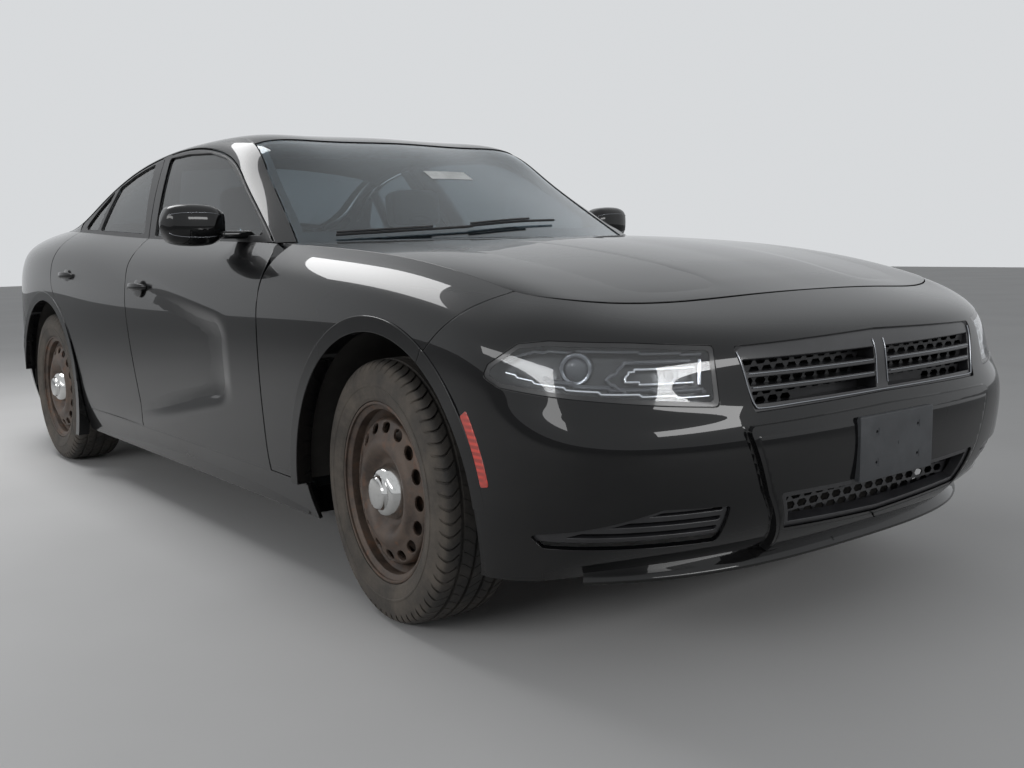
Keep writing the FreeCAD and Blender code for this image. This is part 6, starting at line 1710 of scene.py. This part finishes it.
arch_band("front_arch_band_left", "front", 59.0, 185.2)
arch_band("bumper_arch_band_left", "front", 6.0, 58.2, rise=6.0)
arch_band("rear_arch_band_left", "rear", 9.5, 152)
MARKER_LOW, MARKER_HIGH = 45, 70
for name, axle, us, span in (("front_marker_left", "front", (3.6, 6.2), (12.5, 32.5)),
                             ("rear_marker_left", "rear", (13.6, 16.6), (151.0, 168.0))):
    bm = sheet(*side_grid(us, (0.6, 5.0), 8.0), 2.6)
    marker = arc_band(axle, ARCH_RADIUS[axle] + MARKER_LOW, ARCH_RADIUS[axle] + MARKER_HIGH, *span)
    trim(bm, rounded(marker, 6), SIDE_VIEW, "inside")
    fold_edges(bm, 1.8, 5)
    other_side(finish(name, bm, "body", MARKER_RED, "red_lens"))
print("arch bands", count_of("arch_band"), "and 4 markers")

# %% [markdown]
# ### Behind the grilles and under the skin
# Through a grille one sees the radiator, not the ground, so a dark core stands behind each opening. The
# bumper's own solid has a flat lip at the wheel arch that stands off the tucked-in corner, so a copy with
# that lip laid back under the surface stands for it.

# %% Radiator cores behind the grilles
for name, low, high in (("upper_radiator_core", (2264, -470, 600), (2282, 470, 806)),
                        ("lower_radiator_core", (2322, -392, 296), (2340, 392, 470))):
    core = block(name, low, high, 4)
    dress(into_place(core), "body", LINER, "black_trim")

# %% Front bumper behind its skin
LIP_INNER_Y, LIP_BEHIND, UNDER_SKIN = 895, 300, 1.5
bumper = frame["nodes"]["front_bumper"].copy()
bumper.data = bumper.data.copy()
bumper.name = bumper.data.name = "front_bumper_core"
bpy.context.scene.collection.objects.link(bumper)
core = np.array([v.co for v in bumper.data.vertices]) / MM
lip = (np.abs(core[:, 1]) > LIP_INNER_Y) & (core[:, 2] < LIP_LAID_BACK_Z)
lip &= core[:, 0] > WHEEL_X["front"] + LIP_BEHIND
surface = on_surface(SIDE_VIEW, core[lip][:, [0, 2]], (1.6, 7.0), (0.02, 5.0))[:, 1]
core[lip, 1] = np.sign(core[lip, 1]) * np.minimum(np.abs(core[lip, 1]), surface - UNDER_SKIN)
bumper.data.vertices.foreach_set("co", (core * MM).ravel())
dress(bumper, "body", PAINT, "black_paint", ["front_bumper"])
print("lip points laid back", int(lip.sum()))

# %% Plate bracket
PLATE_X, PLATE_Z, PLATE_HALF_W, PLATE_HALF_H = 2534, 513, 157, 80
PLATE_THICK, PLATE_PROUD, PLATE_ROUND, CUT_DEPTH = 7, 0.8, 9, 20
plate = block("plate_bracket_face", (PLATE_X - PLATE_THICK, -PLATE_HALF_W, PLATE_Z - PLATE_HALF_H),
              (PLATE_X + PLATE_PROUD, PLATE_HALF_W, PLATE_Z + PLATE_HALF_H))
modify(plate, "BEVEL", width=PLATE_ROUND, segments=4, limit_method="ANGLE", affect="EDGES")
# Four upright slots for the plate's screws and a small hole in the middle: place, half width, half height.
HOLES = [(y, z, 7, 9) for y in (-89, 89) for z in (-38, 38)] + [(0, 0, 4, 4)]
for y, z, half_w, half_h in HOLES:
    cut_by(plate, block("slot", (PLATE_X - CUT_DEPTH, y - half_w, PLATE_Z + z - half_h),
                        (PLATE_X + CUT_DEPTH, y + half_w, PLATE_Z + z + half_h)))
soften(plate, 0.9, 2)
dress(into_place(plate), "body", BRACKET, "grey_plastic")
print("plate bracket", len(plate.data.polygons), "faces")

# %% [markdown]
# ## Mirrors, handles, wipers and the rest of the outside
# Each is a small smooth form. The mirror is a loft through rounded sections, and a handle is a curved
# grip over a round cup in the door.

# %% Mirrors
MIRROR_SECTIONS = [(858, 500, 410, 1048, 1150), (900, 520, 398, 1032, 1166), (980, 518, 396, 1030, 1170),
                   (1036, 500, 400, 1042, 1160), (1058, 478, 412, 1068, 1138)]
MIRROR_SQUARE, MIRROR_BOW = 0.72, 4


def mirror_edges(ys):
    """Front, rear, low and high edge of the housing at these distances from the car's middle."""
    return [through([(section[0], section[k]) for section in MIRROR_SECTIONS], ys) for k in (1, 2, 3, 4)]


def mirror_ring(front, rear, low, high, turns, size=1.0):
    """Rounded section of the housing as x and z at these turns."""
    c, s = np.cos(turns), np.sin(turns)
    x = (front + rear) / 2 + (front - rear) / 2 * size * np.sign(c) * np.abs(c) ** MIRROR_SQUARE
    z = (low + high) / 2 + (high - low) / 2 * size * np.sign(s) * np.abs(s) ** MIRROR_SQUARE
    return x, z + MIRROR_BOW * (c > 0) * c


def mirror_shell():
    """Housing lofted from the door outwards: it swells from its root and closes round at its tip."""
    ys = np.concatenate([np.linspace(852, 1050, 34), 1050 + 10 * np.sin(np.linspace(0.2, math.pi / 2, 8))])
    turns = np.linspace(0, 2 * math.pi, 65)[:-1]
    sections = []
    for y, edges in zip(ys, zip(*mirror_edges(ys))):
        close = max(0.0, (y - 1036) / 24)
        size = math.sqrt(max(0.03, 1 - close ** 2.2)) if close else min(1.0, 0.86 + (y - 852) / 100)
        x, z = mirror_ring(*edges, turns, size)
        sections.append([(a, y, b) for a, b in zip(x, z)])
    housing = finish("mirror_shell_left", lofted(sections), "front_door_left", PAINT, "black_paint",
                     ["mirror_left"])
    smooth_by_angle(housing, 60)
    return housing


other_side(mirror_shell(), replaces=["mirror_right"])

# %% Mirror seams, arm and glass
SEAM_RADIUS, SEAM_PROUD = 0.9, 0.004
seam_ys = np.linspace(868, 1046, 40)
front, rear, low, high = mirror_edges(seam_ys)
for number, angle in enumerate((-0.55, 0.42)):
    x, z = mirror_ring(front, rear, low, high, angle)
    line = np.stack([x + SEAM_PROUD * (x - (front + rear) / 2), seam_ys, z], 1)
    seam = tube(f"mirror_seam_{number}_left", line, SEAM_RADIUS, "front_door_left", EDGE_METAL, "black_trim")
    other_side(seam)
MIRROR_SILVER = bright_metal("mirror_silver", (0.9, 0.9, 0.9), 0.02)
for name, low, high, bevel, material, slot in (
        ("mirror_arm_left", (446, 762, 1052), (548, 884, 1078), 8, PAINT, "black_paint"),
        ("mirror_glass_left", (393.5, 884, 1048), (397.5, 1030, 1154), 1.5, MIRROR_SILVER, "dark_glass")):
    other_side(dress(into_place(block(name, low, high, bevel)), "front_door_left", material, slot))
print("mirror pieces", count_of("mirror_"))

# %% Door handles in their cups
DOOR_U, DOOR_V = (8.2, 13.5), (2.0, BELT_V)
CUP_RADII, CUP_PROUD, CUP_DROP = (46, 3.2, 34), 1.5, 2
GRIP_BACK, GRIP_AHEAD, GRIP_RISE, GRIP_LIFT = 96, 88, 6, 24
GRIP_HALF_DEPTH, GRIP_HALF_HEIGHT, GRIP_COUNT = 6, 15, 25


def handle_cup(door, x, z):
    """Dark dish behind the grip, laid on the door's surface."""
    y = on_surface(SIDE_VIEW, [(x, z)], DOOR_U, DOOR_V)[0][1]
    bpy.ops.object.select_all(action="DESELECT")
    bpy.ops.mesh.primitive_uv_sphere_add(segments=48, ring_count=24, radius=1, scale=CUP_RADII,
                                         location=(x, y + CUP_PROUD, z - CUP_DROP))
    cup = bpy.context.object
    cup.name = door + "_handle_cup_left"
    bpy.ops.object.transform_apply(location=True, rotation=True, scale=True)
    bpy.ops.object.shade_smooth()
    other_side(dress(into_place(cup), door + "_left", LAMP_BLACK, "black_trim"))


def handle_grip(door, x, z):
    """Curved grip that leaves the door, stands out over the cup and comes back."""
    xs = np.linspace(x - GRIP_BACK, x + GRIP_AHEAD, GRIP_COUNT)
    line = on_surface(SIDE_VIEW, [(a, z + GRIP_RISE) for a in xs], DOOR_U, DOOR_V)
    lift = GRIP_LIFT * np.sin(np.linspace(0, math.pi, GRIP_COUNT)) ** 0.6
    turns = np.linspace(0, 2 * math.pi, GRIP_COUNT)[:-1]
    ring = np.stack([0 * turns, GRIP_HALF_DEPTH * np.cos(turns), GRIP_HALF_HEIGHT * np.sin(turns)], 1)
    sections = []
    for k, (place, out) in enumerate(zip(line, lift)):
        taper = max(0.12, math.sin(math.pi * (k + 0.6) / (GRIP_COUNT + 0.2)) ** 0.35)
        sections.append(place + [0, out, 0] + ring * taper)
    other_side(finish(door + "_handle_left", lofted(sections), door + "_left", PAINT, "black_paint"))


for door, x, z in (("front_door", -188, 872), ("rear_door", -1090, 905)):
    handle_cup(door, x, z)
    handle_grip(door, x, z)
print("handles", count_of("handle"), "pieces")

# %% Wipers and the bare label
SCREEN_OUT = np.array([0.5, 0, 0.86])


def screen_points(pairs, lift):
    """Places above the windscreen, for pairs of the roof surface's parameters."""
    us, vs = np.array(pairs, float).T
    return roof_points(us, vs) + SCREEN_OUT * lift


for name, path in (("wiper_right", [(0.05, 3.40), (0.065, 3.10), (0.085, 2.75), (0.105, 2.40)]),
                   ("wiper_left", [(0.11, 2.42), (0.14, 2.10), (0.165, 1.75), (0.18, 1.38)])):
    dense = np.array(curved([(a * 100, b * 100) for a, b in path], 4.0)) / 100
    tube(name + "_blade", screen_points(dense, 9), 4.5, "body", MATT, "black_trim")
    tube(name + "_arm", screen_points(dense[: len(dense) * 2 // 3], 19), 4.0, "body", TRIM, "black_trim")
label = sheet(*side_grid((0.87, 1.03), (1.70, 2.22), 6.0, roof_points), 0.6 - SCREEN_SUNK)
finish("windscreen_label", label, "body", PAPER, "clear_glass")
print("wipers and label", count_of("wiper"), "and 1")

# %% [markdown]
# ## Cabin
# Seats are padded forms under cloth: each starts as a cube, is subdivided, then crowned so that its sides
# pull in between the corners, with a sewn channel across. They are seen only through tinted glass.

# %% Seats
def cushion(name, low, high, tilt, node, channel=0.0, crown=0.16):
    """Padded cushion between two corners, turned about its lower edge by a tilt in degrees."""
    bpy.ops.object.select_all(action="DESELECT")
    bpy.ops.mesh.primitive_cube_add(size=2)
    piece = bpy.context.object
    piece.name = piece.data.name = name
    bpy.ops.object.mode_set(mode="EDIT")
    bpy.ops.mesh.select_all(action="SELECT")
    bpy.ops.mesh.subdivide(number_cuts=22)
    bpy.ops.object.mode_set(mode="OBJECT")
    points = np.array([v.co for v in piece.data.vertices])
    size = (np.array(high) - np.array(low)) / 2
    thin = int(np.argmin(size))
    a, b = [k for k in range(3) if k != thin]
    swell = (1 - points[:, a] ** 2) * (1 - points[:, b] ** 2)
    bulged = points.copy()
    bulged[:, thin] *= 1 - crown + crown * swell ** 0.5
    for k in (a, b):
        other = b if k == a else a
        bulged[:, k] *= 1 - 0.03 * points[:, other] ** 2
    if channel:
        seam = np.exp(-((np.abs(points[:, 1]) - channel) / 0.035) ** 2) * (np.abs(points[:, 0]) < 0.999)
        bulged[:, thin] *= 1 - 0.16 * seam
    norm = (np.abs(points) ** 7).sum(1) ** (1 / 7)
    placed = bulged / norm[:, None] * size + (np.array(low) + np.array(high)) / 2
    piece.data.vertices.foreach_set("co", placed.ravel())
    pivot = Vector((low[0], 0, low[2]))
    turn = Matrix.Translation(pivot) @ Matrix.Rotation(math.radians(tilt), 4, "Y")
    turn = turn @ Matrix.Translation(-pivot)
    only(piece)
    bpy.ops.object.shade_smooth()
    into_place(piece, turn)
    dress(piece, "body", CLOTH, "cloth", [node])
    return piece


SEAT_Y = 400
for side, sign in SIDES:
    y = sign * SEAT_Y
    cushion("seat_cushion_" + side, (-180, y - 245, 356), (352, y + 245, 488), -4, "front_seats", 0.55)
    cushion("seat_back_" + side, (-205, y - 235, 455), (-85, y + 235, 1062), -9.5, "front_seats", 0.55)
    cushion("head_rest_" + side, (-300, y - 130, 1092), (-196, y + 130, 1262), -8, "front_seats")
    frame_block = block("seat_frame_" + side, (-140, y - 180, 296), (290, y + 180, 352), 8)
    dress(into_place(frame_block), "body", IRON, "iron")
    posts = [block("post", (-262, y + dy - 6, 1040), (-250, y + dy + 6, 1110), 2) for dy in (-60, 60)]
    dress(into_place(joined("head_rest_posts_" + side, posts)), "body", CHROME, "iron")
cushion("bench_cushion", (-1010, -640, 392), (-535, 640, 482), -3, "rear_bench", 0.33)
cushion("bench_back", (-1060, -575, 470), (-945, 575, 1000), -17, "rear_bench", 0.33)

# %% Finishes of the solids that stay in view
FINISH_OF = {
    "grilles": GRILLE_BLACK, "cabin_trim": DASH, "steering_wheel": DASH, "wheel_liners": LINER,
    "plate_bracket": BRACKET, "floor_pan": SEALER, "middle_pillars": TRIM, "engine_block": ENGINE_METAL,
    "front_subframe": IRON, "rear_suspension": IRON, "exhaust": EXHAUST, "tail_lamps": RED,
    "boot_lid_lamp": RED, "headlamps": LENS, "fixed_glass": SCREEN_GLASS}
for name, node in frame["nodes"].items():
    if "wheel_" in name and "liner" not in name and "steering" not in name:
        material = WHEEL
    elif "tyre" in name:
        material = RUBBER
    elif "knuckle" in name:
        material = BARE_DISC
    elif "door_glass" in name:
        material = SIDE_GLASS
    else:
        material = FINISH_OF.get(name, PAINT)
    node.data.materials.clear()
    node.data.materials.append(material)
print("finished", len(frame["nodes"]), "solids")

# %% [markdown]
# ## Studio
# A black car is seen by what it reflects. One soft light over the tail draws the long highlights along the
# wings and shoulders and stays off the windscreen and its pillar. A second at the right shapes doors and
# wheels, and a third in front the nose. Floor and backdrop are plain and pale.

# %% Floor, backdrop and lights
def pale(name, grey):
    s = Shader(name, Roughness=0.7)
    s.set(Base_Color=s.blend(s.noise(0.8, 3.0, 0.5).step(0.3, 0.7), (grey,) * 3, (grey * 0.94,) * 3))
    return s.material


bpy.ops.mesh.primitive_plane_add(size=60)
floor = bpy.context.object
floor.name = "floor"
floor.data.materials.append(pale("pale_floor", 0.66))


def soft_light(name, place, target, size, power):
    """Rectangular lamp at a place, facing a target."""
    lamp = bpy.data.lights.new(name, "AREA")
    lamp.shape, (lamp.size, lamp.size_y), lamp.energy = "RECTANGLE", size, power
    light = bpy.data.objects.new(name, lamp)
    light.matrix_world = (Matrix.Translation(place)
                          @ (Vector(target) - Vector(place)).to_track_quat("-Z", "Y").to_matrix().to_4x4())
    bpy.context.scene.collection.objects.link(light)


soft_light("overhead", (-2.4, -1.15, 3.7), (-2.4, -0.9, 0), (3.0, 1.9), 90)
soft_light("right_side", (1.5, -6.0, 2.4), (0.3, 0, 0.6), (6.0, 0.9), 85)
soft_light("front", (7.0, 0.5, 2.4), (2.0, 0, 0.6), (3.2, 0.8), 60)
world = bpy.data.worlds.new("studio")
world.use_nodes = True
bpy.context.scene.world = world
tree = world.node_tree
# What the camera sees, also mirrored or through glass, is a brighter backdrop than what lights the floor.
BACKDROP_DIM, BACKDROP_EXTRA = 0.22, 0.54
backdrop = tree.nodes["Background"]
path = tree.nodes.new("ShaderNodeLightPath")
strength = tree.nodes.new("ShaderNodeMath")
strength.operation = "MULTIPLY_ADD"
seen = path.outputs["Is Camera Ray"]
for ray in ("Is Glossy Ray", "Is Transmission Ray"):
    either = tree.nodes.new("ShaderNodeMath")
    either.operation = "MAXIMUM"
    tree.links.new(seen, either.inputs[0])
    tree.links.new(path.outputs[ray], either.inputs[1])
    seen = either.outputs[0]
tree.links.new(seen, strength.inputs[0])
strength.inputs[1].default_value, strength.inputs[2].default_value = BACKDROP_EXTRA, BACKDROP_DIM
backdrop.inputs["Color"].default_value = (0.90, 0.92, 0.94, 1)
tree.links.new(strength.outputs[0], backdrop.inputs["Strength"])
bpy.context.scene.view_settings.view_transform = "Standard"
